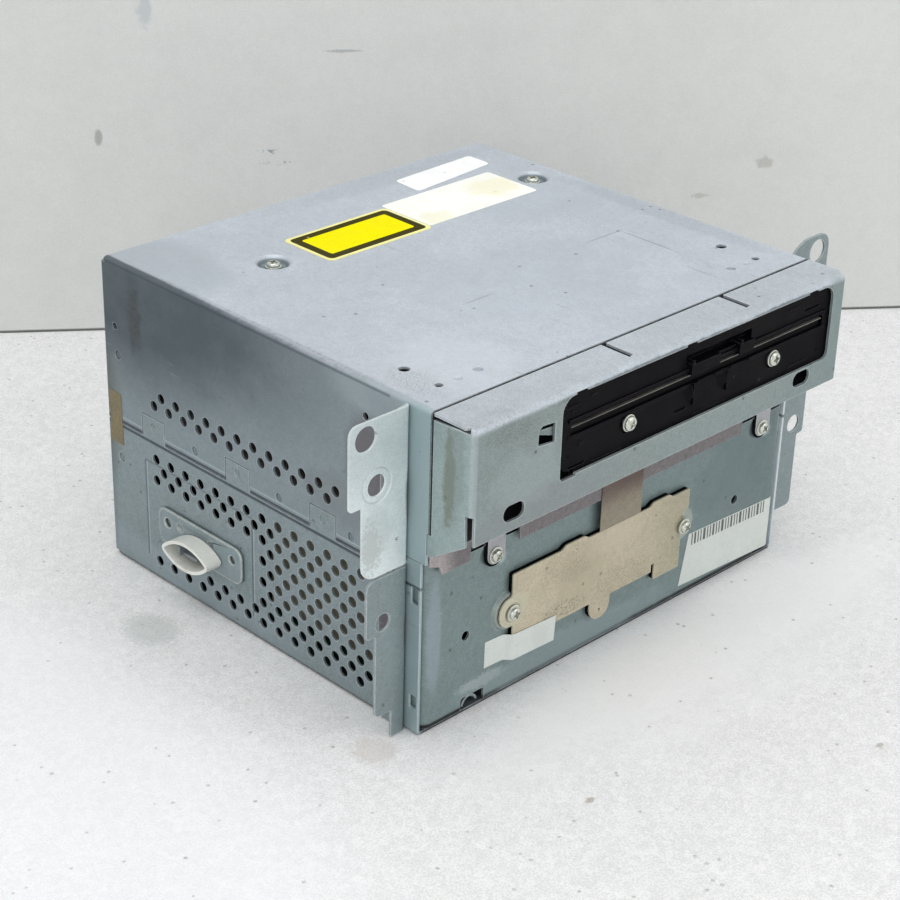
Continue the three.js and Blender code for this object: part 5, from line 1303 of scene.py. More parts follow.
    def cover_side(self, edge: float, end: float) -> list[Pair]:
        """The outline of the cover's side, notched over the tray's tabs."""
        foot, gap = SEAM + SEAM_GAP, SEAM_GAP
        jog_depth, jog_top = self.jog
        points = [(0, jog_top), (jog_depth, jog_top), (jog_depth, self.tongue_top + gap),
                  (self.tongue_end + gap, self.tongue_top + gap), (self.tongue_end + gap, foot)]
        for place in self.tab_places:
            low, high = place - self.tab_half - gap, place + self.tab_half + gap
            points += [(low, foot), (low, self.tab_top + gap), (high, self.tab_top + gap), (high, foot)]
        return points + [(DEPTH, foot), (DEPTH, edge), (end, edge), (0, edge)]

    def cover_side_holes(self) -> list[Hole]:
        """The two rows of vents and the small holes in a side of the cover."""
        holes = [
            Hole(start + self.vent_pitch * k, height, self.vent_radius, self.vent_sides)
            for start, height in self.cover_vents for k in range(self.cover_vent_count)
        ]
        return holes + [Hole(*place, self.side_hole_radius, 16) for place in self.side_holes]

    def tray_vents(self, rows: Iterable[int]) -> list[Hole]:
        """The vents of the tray in the rows asked for, counted from the bottom."""
        holes = []
        for row in rows:
            shift, reach = self.vent_rows[row]
            place = self.vent_lead + shift
            while place <= reach:
                height = self.vent_foot + self.vent_rise * row
                holes.append(Hole(place, height, self.vent_radius, self.vent_sides))
                place += self.vent_pitch
        return holes

    def tray(self) -> None:
        """The tray: a floor, two vented side walls with tabs at the seam, and a low rear lip."""
        shell = Shell()
        half, start, end = SIDE - BEND, self.tray_front, DEPTH - BEND
        feet = [Press(sign * x, depth, self.foot_dish, True) for sign in (-1, 1) for x, depth in self.feet]
        slots = [Cut.box(x - 9, x + 9, d - 1.5, d + 1.5, 1.4) for x in (-30, 30) for d in self.floor_slots]
        shell.wall(Side.BOTTOM, 0, rect(-half, half, start, end), 0, slots, feet)
        for (side, sign), rows in zip(HANDS, (range(11), range(8, 11))):
            shell.fold(Side.BOTTOM, side, *(Side.BOTTOM.at(sign * half, depth, 0) for depth in (start, end)))
            windows = [Cut.box(*window, 0.3) for window in self.windows]
            presses = [Press(place, self.tab_dimple, self.dimple) for place in self.tab_places]
            presses += [Press(*self.tray_lance, self.lance)]
            shell.wall(side, sign * SIDE, self.tray_side(), 0, self.tray_vents(rows) + windows, presses)
        shell.fold(Side.BOTTOM, Side.BACK, Side.BOTTOM.at(-half, end, 0), Side.BOTTOM.at(half, end, 0))
        shell.wall(Side.BACK, REAR, rect(-half, half, BEND, self.lip_rise), (0, 0, 3, 3))
        fit(shell.object("tray_shell"), SIDE_ZINC, ["lower_tray"])

    def tray_side(self) -> list[Pair]:
        """The outline of the tray's side, with its tabs and its front tongue."""
        front, end, top = self.tray_front, self.tongue_end, self.tongue_top
        points = [(front, BEND), (front, top), (end, top), (end, SEAM)]
        for place in self.tab_places:
            low, high = place - self.tab_half, place + self.tab_half
            points += [(low, SEAM), (low, self.tab_top), (high, self.tab_top), (high, SEAM)]
        return points + [(DEPTH, SEAM), (DEPTH, BEND), (DEPTH - BEND, BEND)]

    def rear_panel(self) -> None:
        """The rear panel: a fan grille, cut-outs for the plug and jacks, and pressed stiffening."""
        shell = Shell()
        half, bend, pitch = self.rear_half, self.rear_bend, self.grille_pitch
        centre_x, centre_z, reach = self.grille
        holes = []
        for row in range(-3, 4):
            for column in range(-4, 5):
                x = column * pitch + (row % 2) * pitch / 2
                z = row * pitch * math.sqrt(3) / 2
                if math.hypot(x, z) + self.grille_radius <= reach + 0.6:
                    holes.append(Hole(centre_x + x, centre_z + z, self.grille_radius, 18))
        away = self.fan_screw
        holes += [Hole(centre_x + sx * away, centre_z + sz * away, 1.7) for sx in (-1, 1) for sz in (-1, 1)]
        holes += [Cut.box(*self.plug_hole, 1.0)] + [Hole(*hole) for hole in self.jack_holes]
        holes += [Hole(sign * self.rear_screw_x, self.rear_screw_height, 1.6) for sign in (-1, 1)]
        presses = [Press(*place, self.rear_dish, True) for place in self.rear_seats]
        presses += [Press(*place, self.lance) for place in self.rear_lances]
        presses += [Press(*place, steps) for place, steps in self.rear_rounds]
        shell.wall(Side.BACK, self.rear_level, rect(-half, half, *self.rear_span), 0, holes, presses)
        start = self.rear_level - bend - FRONT
        for side, sign in HANDS:
            shell.upright_fold(Side.BACK, side, (sign * half, self.rear_level), self.rear_span, bend)
            shell.wall(side, sign * (half + bend), rect(start - self.rear_wall, start, *self.rear_span))
        fit(shell.object("rear_panel_shell"), REAR_ZINC, ["rear_panel"])

    def liner(self) -> None:
        """The pale sheet behind the front vents of the left wall, and a black sheet behind the others:
        painted shade inside the case.
        """
        for name, level, reach, finish, slot in (
            ("vent_liner", -83.6, (22, 81), LINER_TIN, "zinc_sheet"),
            # The second sheet is black: painted shade seen through the rear vents.
            ("vent_painted_shade_sheet", -84.4, (81.5, 156), PAINTED_SHADE_BLACK, "black_plastic"),
        ):
            shell = Shell()
            shell.wall(Side.LEFT, level, rect(*reach, 11, 50.5), 2)
            fit(shell.object(name, thickness=0.5), finish)


@dataclass
class Front:
    """The front of the unit: the drive's shroud, the slot bezel, the lower panel and the bay cover."""

    case_front: float = -80.0
    face: float = -97.2
    panel_face: float = -77.2
    bezel_face: float = -95.9
    cover_face: float = -79.3
    panel_half: float = 88.7
    panel_bend: float = 4.0
    panel_return: float = 10.0
    panel_foot: float = 1.3
    panel_top: float = 59.0
    panel_corner: float = 61.3
    shroud_foot: float = 76.3
    slot: Four = (-47.0, 78.6, 98.4, 103.4)
    shroud_box: Three = (-88.3, 86.4, 112.6)
    shroud_bends: Three = (1.5, 2.9, 2.4)
    slits: Pair = (41.3, -16.4)
    lugs: tuple[Pair, ...] = ((7.4, 21.6), (31.6, 38.8))
    ramps: Pair = (8.6, 25.4)
    bezel_screws: tuple[Pair, ...] = ((-20.3, 94.6), (51.9, 94.6))
    panel_screws: tuple[Pair, ...] = ((-58.1, 54.0), (75.9, 54.0))
    cover_screws: tuple[Pair, ...] = ((-51.5, 31.2), (33.0, 31.2))
    panel_holes: tuple[Pair, ...] = ((-70.1, 29.1), (64.3, 29.1))
    panel_dish: tuple[Pair, ...] = ((7.6, 0), (5.9, -0.8), (1.7, -0.8))
    cover_boss: tuple[Pair, ...] = ((7.2, 0), (6.3, 1.2), (1.7, 1.2))

    def build(self) -> None:
        """Builds the front and dresses it."""
        self.shroud()
        self.bezel()
        self.lower_panel()
        self.deck_corner()
        self.bay_cover()

    def shroud(self) -> None:
        """The shroud round the disc slot: a folded sheet with a wide mouth and two slits in its roof."""
        shell = Shell()
        foot, (left, right, high), (small, large, roll) = self.shroud_foot, self.shroud_box, self.shroud_bends
        side = self.face - self.case_front
        window = Cut(((-62.5, 101), (-55.3, 100.2), (-55.3, 106.8), (-60.8, 107.2), (-62.3, 106)), 0.3)
        long_holes = [Cut.box(x - 4.5, x + 4.5, 79.7, 85.2, 2.6, 6) for x in (-71.8, 68)]
        shell.wall(Side.FRONT, self.face, rect(left, right, foot, high), 0, [window, *long_holes])
        shell.upright_fold(Side.FRONT, Side.LEFT, (left, self.face), (foot, high), small, 8)
        shell.upright_fold(Side.FRONT, Side.RIGHT, (right, self.face), (foot, high), large, 8)
        edge = [Vector((x, self.face, high)) for x in (left, right)]
        shell.fold(Side.FRONT, Side.TOP, *edge, roll, 8)
        shell.wall(Side.LEFT, left - small, [
            (side + small, foot), (side + small, high), (side + small, 113.4), (-0.5, 112.6),
            (-0.5, 73.9), (0.9, 73.9), (0.9, 66.5), (-0.5, 66.5),
        ])
        shell.wall(Side.RIGHT, right + large, [
            (side + large, foot), (side + large, high), (side + large + 1, 113.2), (-0.3, 113.2),
            (-0.3, foot),
        ])
        shell.wall(Side.TOP, TOP, self.shroud_roof(left, right, side + roll))
        shell.corner(edge[0], -small, roll)
        shell.corner(edge[1], large, roll)
        made = shell.object("shroud_shell")
        carve(made, self.mouth())
        relief = Mesh()
        slot = ((-97.6, 86.5), (-97.6, 75), (-94.7, 75), (-94.4, 86.5))
        relief.prism([Vector((-92, y, z)) for y, z in slot], Vector((3.6, 0, 0)))
        carve(made, relief.object("relief_cutter"))
        fit(made, SHROUD_ZINC, ["drive_shroud"])
        self.window_tab()
        self.pads()

    def mouth(self) -> Piece:
        """The cutter of the shroud's mouth, with three small notches in its top and one at its lower left."""
        notches = [(edge, height) for x in (73, 10, -41.3) for edge, height in (
            (x, 113), (x, 113.6), (x - 5, 113.6), (x - 5, 113))]
        outline = [(-52.2, 86), (-51.6, 86), (-51.6, 85.2), (-45.1, 85.2), (-45.1, 86), (81.8, 86),
                   (81.8, 113), *notches, (-52.2, 113)]
        cutter = Mesh()
        cutter.slab(outline, self.face - 3, 9, [0.4] + [0] * 4 + [2.5, 5] + [0] * 12 + [5], 6)
        return cutter.object("mouth_cutter")

    def pads(self) -> None:
        """Black pads behind the shroud's openings and roof slits and along its joint with the cover: painted
        shade.
        """
        pads = Mesh()
        for x0, x1, z0, z1 in (
            (-80, -62, 77.5, 88), (58, 78, 77.5, 88), (-66, -54, 97, 111), (-54, -44, 83.6, 100),
        ):
            pads.block((x0, self.face + 3.7, z0), (x1, self.face + 4.4, z1))
        for x in self.slits:
            pads.block((x - 2.5, -93.4, 112.9), (x + 2.5, -81, 113.8))
        pads.block((-88, -81, 112.9), (88, -79.6, 113.8))
        fit(eased(pads, "painted_shade_pads", 0.2), PAINTED_SHADE_BLACK)

    def shroud_roof(self, left: float, right: float, front: float) -> list[Pair]:
        """The outline of the shroud's roof, with its two slits."""
        rear = -0.7
        points = [(left, front), (right, front), (89, front + 0.8), (89, rear)]
        for place in self.slits:
            points += [(place + 1.15, rear), (place + 1.15, -12), (place - 1.15, -12.5), (place - 1.15, rear)]
        return points + [(-89.8, rear), (-89.8, front + 1.2)]

    def window_tab(self) -> None:
        """The small tongue that is bent in at the shroud's window."""
        tab = Mesh()
        outline = ((-54, 105), (-54, 101.6), (-60, 102.9), (-60.6, 103.6), (-59.8, 104.2))
        points = [Vector((x, self.face + 1.3 + (-55 - x) * 0.3, z)) for x, z in outline]
        tab.prism(points, Vector((0, 0.5, 0)))
        fit(eased(tab, "window_tab", 0.15), SHROUD_ZINC)

    def bezel(self) -> None:
        """The black bezel: a plate with the disc slot, two lugs over it, ramps under it and screw seats."""
        plate = Mesh()
        left, right = -51.3, 83.2
        outline = [(left, 94), (-50.2, 93.2), (-50.2, 86.9), (-44.6, 86.9), (-44.2, 84.4), (right, 84.4),
                   (right, 112.7), (left, 112.7)]
        plate.slab(outline, self.bezel_face, 2.2, [0, 0.3, 3, 0.3, 0.2, 3, 4, 5], 5)
        made = plate.object("bezel_plate")
        cutter = Mesh()
        cutter.slab(rect(*self.slot), self.bezel_face - 2, 6, [1, 1, 2, 2])
        for x, z in self.bezel_screws:
            place = Matrix.Translation((x, self.bezel_face + 2.6, z)) @ FACING
            cutter.lathe([(0, 3.0), (3.6, 3.0), (3.6, 1.6), (0, 1.6)], 32, place)
        for x0, x1, z0, z1 in ((-47, -40, 87.4, 88.4), (2, 8, 90.2, 91.3), (68, 76, 106.6, 107.4)):
            cutter.block((x0, self.bezel_face - 1, z0), (x1, self.bezel_face + 1, z1))
        (left, _), (_, right) = self.lugs
        cutter.block((left - 0.8, self.bezel_face - 1, 105.6), (right + 0.7, self.bezel_face + 3, 109.0))
        carve(made, cutter.object("bezel_cutter"))
        settle(soften(made, 0.3))
        fit(made, BLACK_PLASTIC, ["slot_bezel"])
        self.bezel_ribs()
        self.slot_lip()

    def bezel_ribs(self) -> None:
        """The raised forms of the bezel: a rim along the slot, lugs, ramps and moulding marks."""
        ribs = Mesh()
        face = self.bezel_face + 0.2
        x0, x1, z0, z1 = self.slot
        (left, gap), (far, right) = self.lugs
        for low, high in ((x0 - 1, left), (gap, far), (right, x1 + 1)):
            ribs.block((low, face - 0.75, z1 - 0.2), (high, face, z1 + 1.0))
            ribs.block((low, face - 0.55, z0 - 0.9), (high, face, z0 + 0.3))
        for low, high in self.lugs:
            ribs.block((low, -97.85, 102.4), (high, -93.2, 106.2))
            ribs.block((low + 0.8, -97.6, 106.0), (low + 1.8, -93.2, 107.4))
        ribs.block((left - 1.6, -93.7, 104), (right + 1.6, -93.0, 110.8))
        for x in self.ramps:
            slope = ((-4.6, 0, 98.2), (3.4, 0, 98.2), (1.2, -1.6, 94.2), (-0.4, 0, 91.8))
            ribs.prism([Vector((x + a, face + b, z)) for a, b, z in slope], Vector((0, 0.8, 0)))
            ribs.slab([(x + 1.6, 98.6), (x + 4.2, 98.6), (x + 1.9, 90.6)], face, -1.3)
        for x, z, wide, tall in (
            (-46, 108.6, 5, 0.7), (-37, 109.8, 3, 0.7), (-42, 94.8, 2.2, 1.4), (62, 109.6, 6, 0.6),
            (66, 88.4, 9, 0.8), (-30, 86.8, 14, 0.5), (20, 87.2, 16, 0.5),
        ):
            ribs.block((x - wide / 2, face - 0.5, z - tall / 2), (x + wide / 2, face, z + tall / 2))
        for x, z in ((-46.5, 107.0), (-47.2, 91.8), (76.8, 108.8), (77, 90)):
            place = Matrix.Translation((x, face, z)) @ FACING
            ribs.lathe([(0, 0.4), (0.6, 0.4), (0.8, 0), (0, 0)], 16, place)
        fit(eased(ribs, "bezel_ribs", 0.2, 0), BLACK_PLASTIC)

    def slot_lip(self) -> None:
        """The thin pale lip across the slot and the dark bristles behind it."""
        x0, x1, z0, z1 = self.slot
        lip = Mesh()
        lip.block((x0 + 0.6, self.bezel_face + 0.1, 101.2), (x1 - 0.8, self.bezel_face + 1.4, 101.6))
        fit(eased(lip, "slot_lip", 0.15), SLOT_LIP)
        bristle = Mesh()
        bristle.block((x0 - 1.5, self.bezel_face + 1.5, z0 - 1), (x1 + 1.5, self.bezel_face + 2.4, z1 + 1))
        fit(eased(bristle, "slot_bristles", 0.2), DARK_BRISTLE)

    def lower_panel(self) -> None:
        """The lower front panel: round bends at both ends, notches at its foot, and seats for its screws."""
        shell = Shell()
        bend, foot, top, corner = self.panel_bend, self.panel_foot, self.panel_top, self.panel_corner
        half = self.panel_half - bend
        holes = [Hole(*place, 1.7) for place in self.panel_holes]
        seats = [Press(x, z - 0.6, self.panel_dish, True) for x, z in self.panel_screws]
        seats += [Press(x, z, self.cover_boss, True) for x, z in self.cover_screws]
        outline = [(-half, foot), (-71.4, foot), (-71.4, 5.9), (-60.9, 5.9), (-60.9, foot), (78, foot),
                   (78, 5.4), (83.5, 5.4), (83.5, foot), (half, foot), (half, top), (-83, top),
                   (-83, corner), (-half, corner)]
        radii = [0, 0.5, 1, 1, 0.5, 0.5, 1, 1, 0.5, 0, 0, 0.5, 0, 0]
        shell.wall(Side.FRONT, self.panel_face, outline, radii, holes, seats)
        start = self.panel_face + bend - FRONT
        for (side, sign), high in zip(HANDS, (corner, top)):
            shell.upright_fold(Side.FRONT, side, (sign * half, self.panel_face), (foot, high), bend, 10)
            end = start + self.panel_return
            shell.wall(side, sign * self.panel_half, [(start, foot), (start, high), (end, high), (end, foot)])
        fit(shell.object("lower_panel_shell"), PANEL_ZINC, ["lower_front_panel"])
        self.panel_tabs()
        self.foot_clips()

    def panel_tabs(self) -> None:
        """The small tabs of the deck that the panel's screws clamp, each in front of a black plate: painted
        shade in the gap round it.
        """
        tabs, recess = Mesh(), Mesh()
        for x, z in self.panel_screws:
            for mesh, gap, left, foot, radius in ((tabs, 0.3, 3.4, 3.3, 3.4), (recess, 0.05, 4.5, 4.0, 4.3)):
                outline = rect(x - left, x + 4.4, z - foot, z + 7.6)
                mesh.slab(outline, self.panel_face - gap, 0.4, [radius, radius, 0, 0], 6)
        fit(eased(tabs, "panel_tabs", 0.15), TAB_ZINC)
        fit(eased(recess, "panel_tab_painted_shade"), PAINTED_SHADE_BLACK)

    def foot_clips(self) -> None:
        """The curved spring clips in the notches at the panel's foot."""
        clips = Shell()
        for x in (-66.2, 80.8):
            level = self.panel_face + 1.2
            start, back = Vector((x - 3.6, level, 1.6)), Vector((0, 4, 0))
            clips.spin_edge(start, start + back, Vector((x, level, 1.2)), Vector((0, 1, 0)), 160, 10)
        fit(clips.object("foot_clips", thickness=0.8), EAR_GREY_ZINC)

    def deck_corner(self) -> None:
        """The small folded end of the deck's lip behind the shroud's left foot."""
        corner = Mesh()
        outline = ((-88.7, 62), (-88.2, 61.9), (-84.5, 60.5), (-84.5, 67.5), (-88.7, 67.5))
        corner.slab(outline, -79.3, 0.9)
        fit(eased(corner, "deck_corner", 0.15), DECK_ZINC)

    def bay_cover(self) -> None:
        """The steel plate over the disk bay, with a round ear at its left screw and a hanging tongue."""
        shell = Shell()
        ear_x, ear_z = self.cover_screws[0]
        outline = [
            (-51.2, 44.8), (-51.2, ear_z + 5.3), (-56.9, ear_z + 5.3), (-56.9, ear_z - 5.3),
            (-50.6, ear_z - 5.3), (-50.6, 18.6), (-13.4, 18.6), (-13.4, 11.1), (-3.4, 11.1), (-3.4, 18.6),
            (17.6, 18.6), (17.6, 21.6), (19.2, 21.6), (19.2, 15.2), (32.4, 15.2), (32.4, 31), (33.6, 36.5),
            (35.6, 37.5), (35.6, 44.8), (26.6, 44.8), (25, 46.1), (16.6, 46.1), (15, 44.8), (-15.8, 44.8),
            (-17.4, 46.1), (-26.6, 46.1), (-28.4, 44.8),
        ]
        radii = [0.6, 1.2, 5.2, 4.6, 0.6, 0.3, 0.6, 4.9, 4.9, 0.6, 0.2, 0.5, 0.3, 0.3, 0.5, 1, 1, 0.5, 0.6,
                 0.8, 0.7, 0.7, 0.8, 0.8, 0.7, 0.7, 0.8]
        dish = ((5.0, 0), (4.3, 0.45), (3.6, 0.5), (3.3, 0.2), (1.9, 0.2))
        bowl = ((11.6, 0), (11.1, -0.14), (10.4, -0.14))
        seats = [Press(ear_x, ear_z, dish, True), Press(-18, 31.6, bowl, False, 48)]
        holes = [Hole(-8.4, 14.6, 0.5, 12), Hole(-21.5, 42.4, 0.5, 12)]
        shell.wall(Side.FRONT, self.cover_face, outline, radii, holes, seats)
        fit(shell.object("bay_cover_plate", thickness=0.6), BARE_STEEL, ["disk_bay_cover"])
        # Black plate filling the gap behind the bay cover: painted shade along the cover's edges.
        cover_shade_plate = Mesh()
        back = self.cover_face + 0.6
        cover_shade_plate.slab(outline, back, self.panel_face - 0.05 - back, radii)
        fit(eased(cover_shade_plate, "bay_cover_painted_shade"), PAINTED_SHADE_BLACK)


@dataclass(frozen=True)
class Ear:
    """One mounting ear: the outline of its flange, as if it stood on the right, and its holes."""

    node: str
    sign: int
    outline: tuple[Pair, ...]
    radii: tuple[float, ...]
    holes: tuple[Three, ...]
    leaf: Pair
    ring: Three | None = None
    pale: bool = False


@dataclass
class Ears:
    """The four ears that the unit is screwed to a dashboard by."""

    face: float = -71.5
    inner: float = 90.3
    bend: float = 1.6
    thickness: float = 0.8
    leaf_end: float = 20.5
    ears: tuple[Ear, ...] = (
        Ear("upper_left_ear", -1,
            ((91.9, 61.2), (109.4, 61.2), (109.4, 86.8), (114.6, 86.8), (114.6, 114.4), (91.9, 114.4)),
            (0, 5, 0.8, 1.2, 3.2, 0), ((108.2, 109, 4.2),), (61.2, 112), (103.6, 92.4, 6.1), True),
        Ear("lower_left_ear", -1,
            ((91.9, 0.3), (96.6, 0.3), (96.6, 10.2), (103.5, 10.2), (103.5, 40), (107.4, 40), (107.4, 60.2),
             (91.9, 60.2)),
            (0, 0.5, 0.8, 2, 0.8, 1.2, 3.2, 0), ((100.6, 44.1, 3.0),), (0.3, 52)),
        Ear("upper_right_ear", 1,
            ((91.9, 61.2), (109.4, 61.2), (109.4, 86.8), (113.2, 86.8), (113.2, 116.7), (96.9, 116.7),
             (91.9, 111.7)),
            (0, 5, 0.8, 1.2, 5, 4, 0), ((106.6, 110.7, 4.2), (103.6, 92.4, 3.3)), (61.2, 111.7)),
        Ear("lower_right_ear", 1,
            ((91.9, 0.3), (96.6, 0.3), (96.6, 10.2), (106.2, 10.2), (106.2, 39), (109.6, 39), (109.6, 60.2),
             (91.9, 60.2)),
            (0, 0.5, 0.8, 2, 0.8, 1.2, 3.2, 0), ((103.3, 44.2, 3.3),), (0.3, 52)),
    )

    def build(self) -> None:
        """Builds the ears and dresses them."""
        for ear in self.ears:
            self.ear(ear)

    def ear(self, ear: Ear) -> None:
        """One ear: a flange that faces forward, bent back into a leaf against the case."""
        shell = Shell()
        low, high = ear.leaf
        points = [(ear.sign * x, z) for x, z in ear.outline]
        presses = []
        if ear.ring:
            x, z, radius = ear.ring
            steps = ((radius, 0), (radius - 0.35, -0.6), (radius - 0.9, -0.1), (3.7, 0))
            presses = [Press(ear.sign * x, z, steps, True)]
        holes = [Hole(ear.sign * x, z, radius, 32) for x, z, radius in ear.holes]
        shell.wall(Side.FRONT, self.face, points, ear.radii, holes, presses)
        side = Side.RIGHT if ear.sign < 0 else Side.LEFT
        edge = (ear.sign * (self.inner + self.bend), self.face)
        bottom, top = ear.outline[0][1], ear.outline[-1][1]
        shell.upright_fold(Side.FRONT, side, edge, (bottom, top), self.bend)
        start = self.face + self.bend - FRONT
        shell.wall(side, ear.sign * self.inner,
                   [(start, bottom), (start, top), (start + 3, high), (self.leaf_end, high - 8),
                    (self.leaf_end, low)], (0, 0, 0.5, 2.5, 2.5))
        made = shell.object(f"{ear.node}_bracket", thickness=self.thickness)
        fit(made, EAR_ZINC if ear.pale else EAR_GREY_ZINC, [ear.node])


@dataclass
class Boss:
    """The plate on the left side and the white locating boss that stands on it."""

    plate_level: float = -91.3
    plate: Four = (87.4, 132.0, 17.7, 31.3)
    plate_holes: tuple[Three, ...] = ((127, 26.1, 1.7), (92.4, 26.1, 1.5))
    plate_lances: tuple[Pair, ...] = ((120, 27), (103.6, 27))
    lance: tuple[Pair, ...] = ((1.6, 0), (1.4, -0.8), (0.9, -0.8))
    middle: Pair = (110.0, 22.0)
    length: float = 24.6
    thickness: float = 11.0
    front: float = -97.8
    back: float = -91.6
    pinch: Pair = (0.34, 2.2)
    wall: float = 1.2
    tilt: float = -4.0

    def build(self) -> None:
        """Builds the plate and the boss and dresses them."""
        shell = Shell()
        holes = [Hole(*hole) for hole in self.plate_holes]
        presses = [Press(*place, self.lance) for place in self.plate_lances]
        shell.wall(Side.LEFT, self.plate_level, rect(*self.plate), 3.5, holes, presses)
        fit(shell.object("boss_plate_sheet", edge=0.3), BOSS_ZINC, ["side_boss_plate"])
        fit(self.ring(), WHITE_PLASTIC, ["side_locating_boss"])
        clip = Mesh()
        depth, height = self.middle
        y = FRONT + depth
        clip.block((-94.4, y - 2.6, height - 2.4), (-91.8, y + 6.5, height - 0.9))
        clip.block((-96.0, y + 4.6, height - 2.0), (-92.0, y + 6.0, height + 1.6))
        clip.block((-94.9, y - 8.4, height - 1.0), (-92.0, y - 6.6, height + 0.8))
        fit(eased(clip, "boss_clip", 0.25, 0), INNER_ZINC)

    def ring(self) -> Piece:
        """The boss itself: a lens-shaped ring, narrow at both ends."""
        shell = Shell()
        verts = shell.ring(Vector((0, 0, 0)), Vector((-1, 0, 0)), 1.0, 56)
        edges = list({edge for v in verts for edge in v.link_edges})
        for v in verts:
            share = min(1.0, abs(v.co.y))
            v.co.z *= (1 - self.pinch[0] * share ** self.pinch[1]) * self.thickness / 2
            v.co.y *= self.length / 2
        made = bmesh.ops.extrude_edge_only(shell.bm, edges=edges)
        new = [item for item in made["geom"] if isinstance(item, bmesh.types.BMVert)]
        bmesh.ops.translate(shell.bm, vec=Vector((self.front - self.back, 0, 0)), verts=new)
        bmesh.ops.recalc_face_normals(shell.bm, faces=shell.bm.faces)
        outward(shell.bm.faces, Vector((0, 0, 0)))
        place = Matrix.Translation((self.back, FRONT + self.middle[0], self.middle[1]))
        shell.bm.transform(place @ Matrix.Rotation(math.radians(self.tilt), 4, "X"))
        return shell.object("locating_boss_ring", thickness=self.wall, edge=0.3)


@dataclass
class Screws:
    """The ten pan-head screws, in five pairs."""

    head_height: float = 1.8
    shank: float = 1.5
    length: float = 7.8
    recess: float = 2.9
    recess_depth: float = 1.1
    groove: float = 0.62
    flange: Pair = (2.9, 0.45)
    radii: dict[str, float] = field(default_factory=lambda: {
        "top": 2.3, "bezel": 2.5, "panel": 2.2, "bay_cover": 2.2, "rear": 2.6,
    })
    facing: dict[str, Side] = field(default_factory=lambda: {
        "top": Side.TOP, "bezel": Side.FRONT, "panel": Side.FRONT, "bay_cover": Side.FRONT, "rear": Side.BACK,
    })

    def build(self) -> None:
        """Builds a screw for each screw node and dresses it."""
        turns = random.Random(7)
        for group, side in self.facing.items():
            pattern = self.pattern(self.radii[group])
            for hand in ("left", "right"):
                node = f"{group}_screw_{hand}"
                low, high = span_of(node)
                middle = (low + high) / 2
                crown = max((low, high), key=lambda corner: corner.dot(side.normal)).dot(side.normal)
                place = middle - side.normal * middle.dot(side.normal) + side.normal * crown
                turn = Vector((0, 0, 1)).rotation_difference(side.normal).to_matrix().to_4x4()
                spin = Matrix.Rotation(math.radians(turns.uniform(0, 90)), 4, "Z")
                data = pattern.data.copy()
                data.transform(Matrix.Translation(place * MM) @ turn @ spin)
                made = bpy.data.objects.new(f"{group}_screw_head_{hand}", data)
                bpy.context.scene.collection.objects.link(made)
                fit(made, SCREW_STEEL, [node])
            bpy.data.objects.remove(pattern)

    def pattern(self, r: float) -> Piece:
        """One screw that points up, with its crown at the origin and a thin flange under its head."""
        head = Mesh()
        wide, tall = self.flange
        base = -self.head_height
        head.lathe([
            (0, 0), (r * 0.5, -0.03), (r * 0.75, -0.16), (r * 0.92, -0.42), (r, -0.8), (r, base + tall),
            (wide, base + tall * 0.7), (wide, base), (self.shank, base), (self.shank, 0.8 - self.length),
            (0.7, -self.length), (0, -self.length),
        ], 32)
        made = head.object("screw_pattern")
        cross = Mesh()
        long, half = self.recess / 2, self.groove / 2
        arm = [(long, -half), (long, half), (half * 1.6, half * 1.6)]
        turns = [Matrix.Rotation(math.radians(90 * k), 3, "Z") for k in range(4)]
        points = [turn @ Vector((x, y, -self.recess_depth)) for turn in turns for x, y in arm]
        cross.prism(points, Vector((0, 0, 2)))
        carve(made, cross.object("cross_cutter"))
        return settle(soften(made, 0.06, 1, 40))


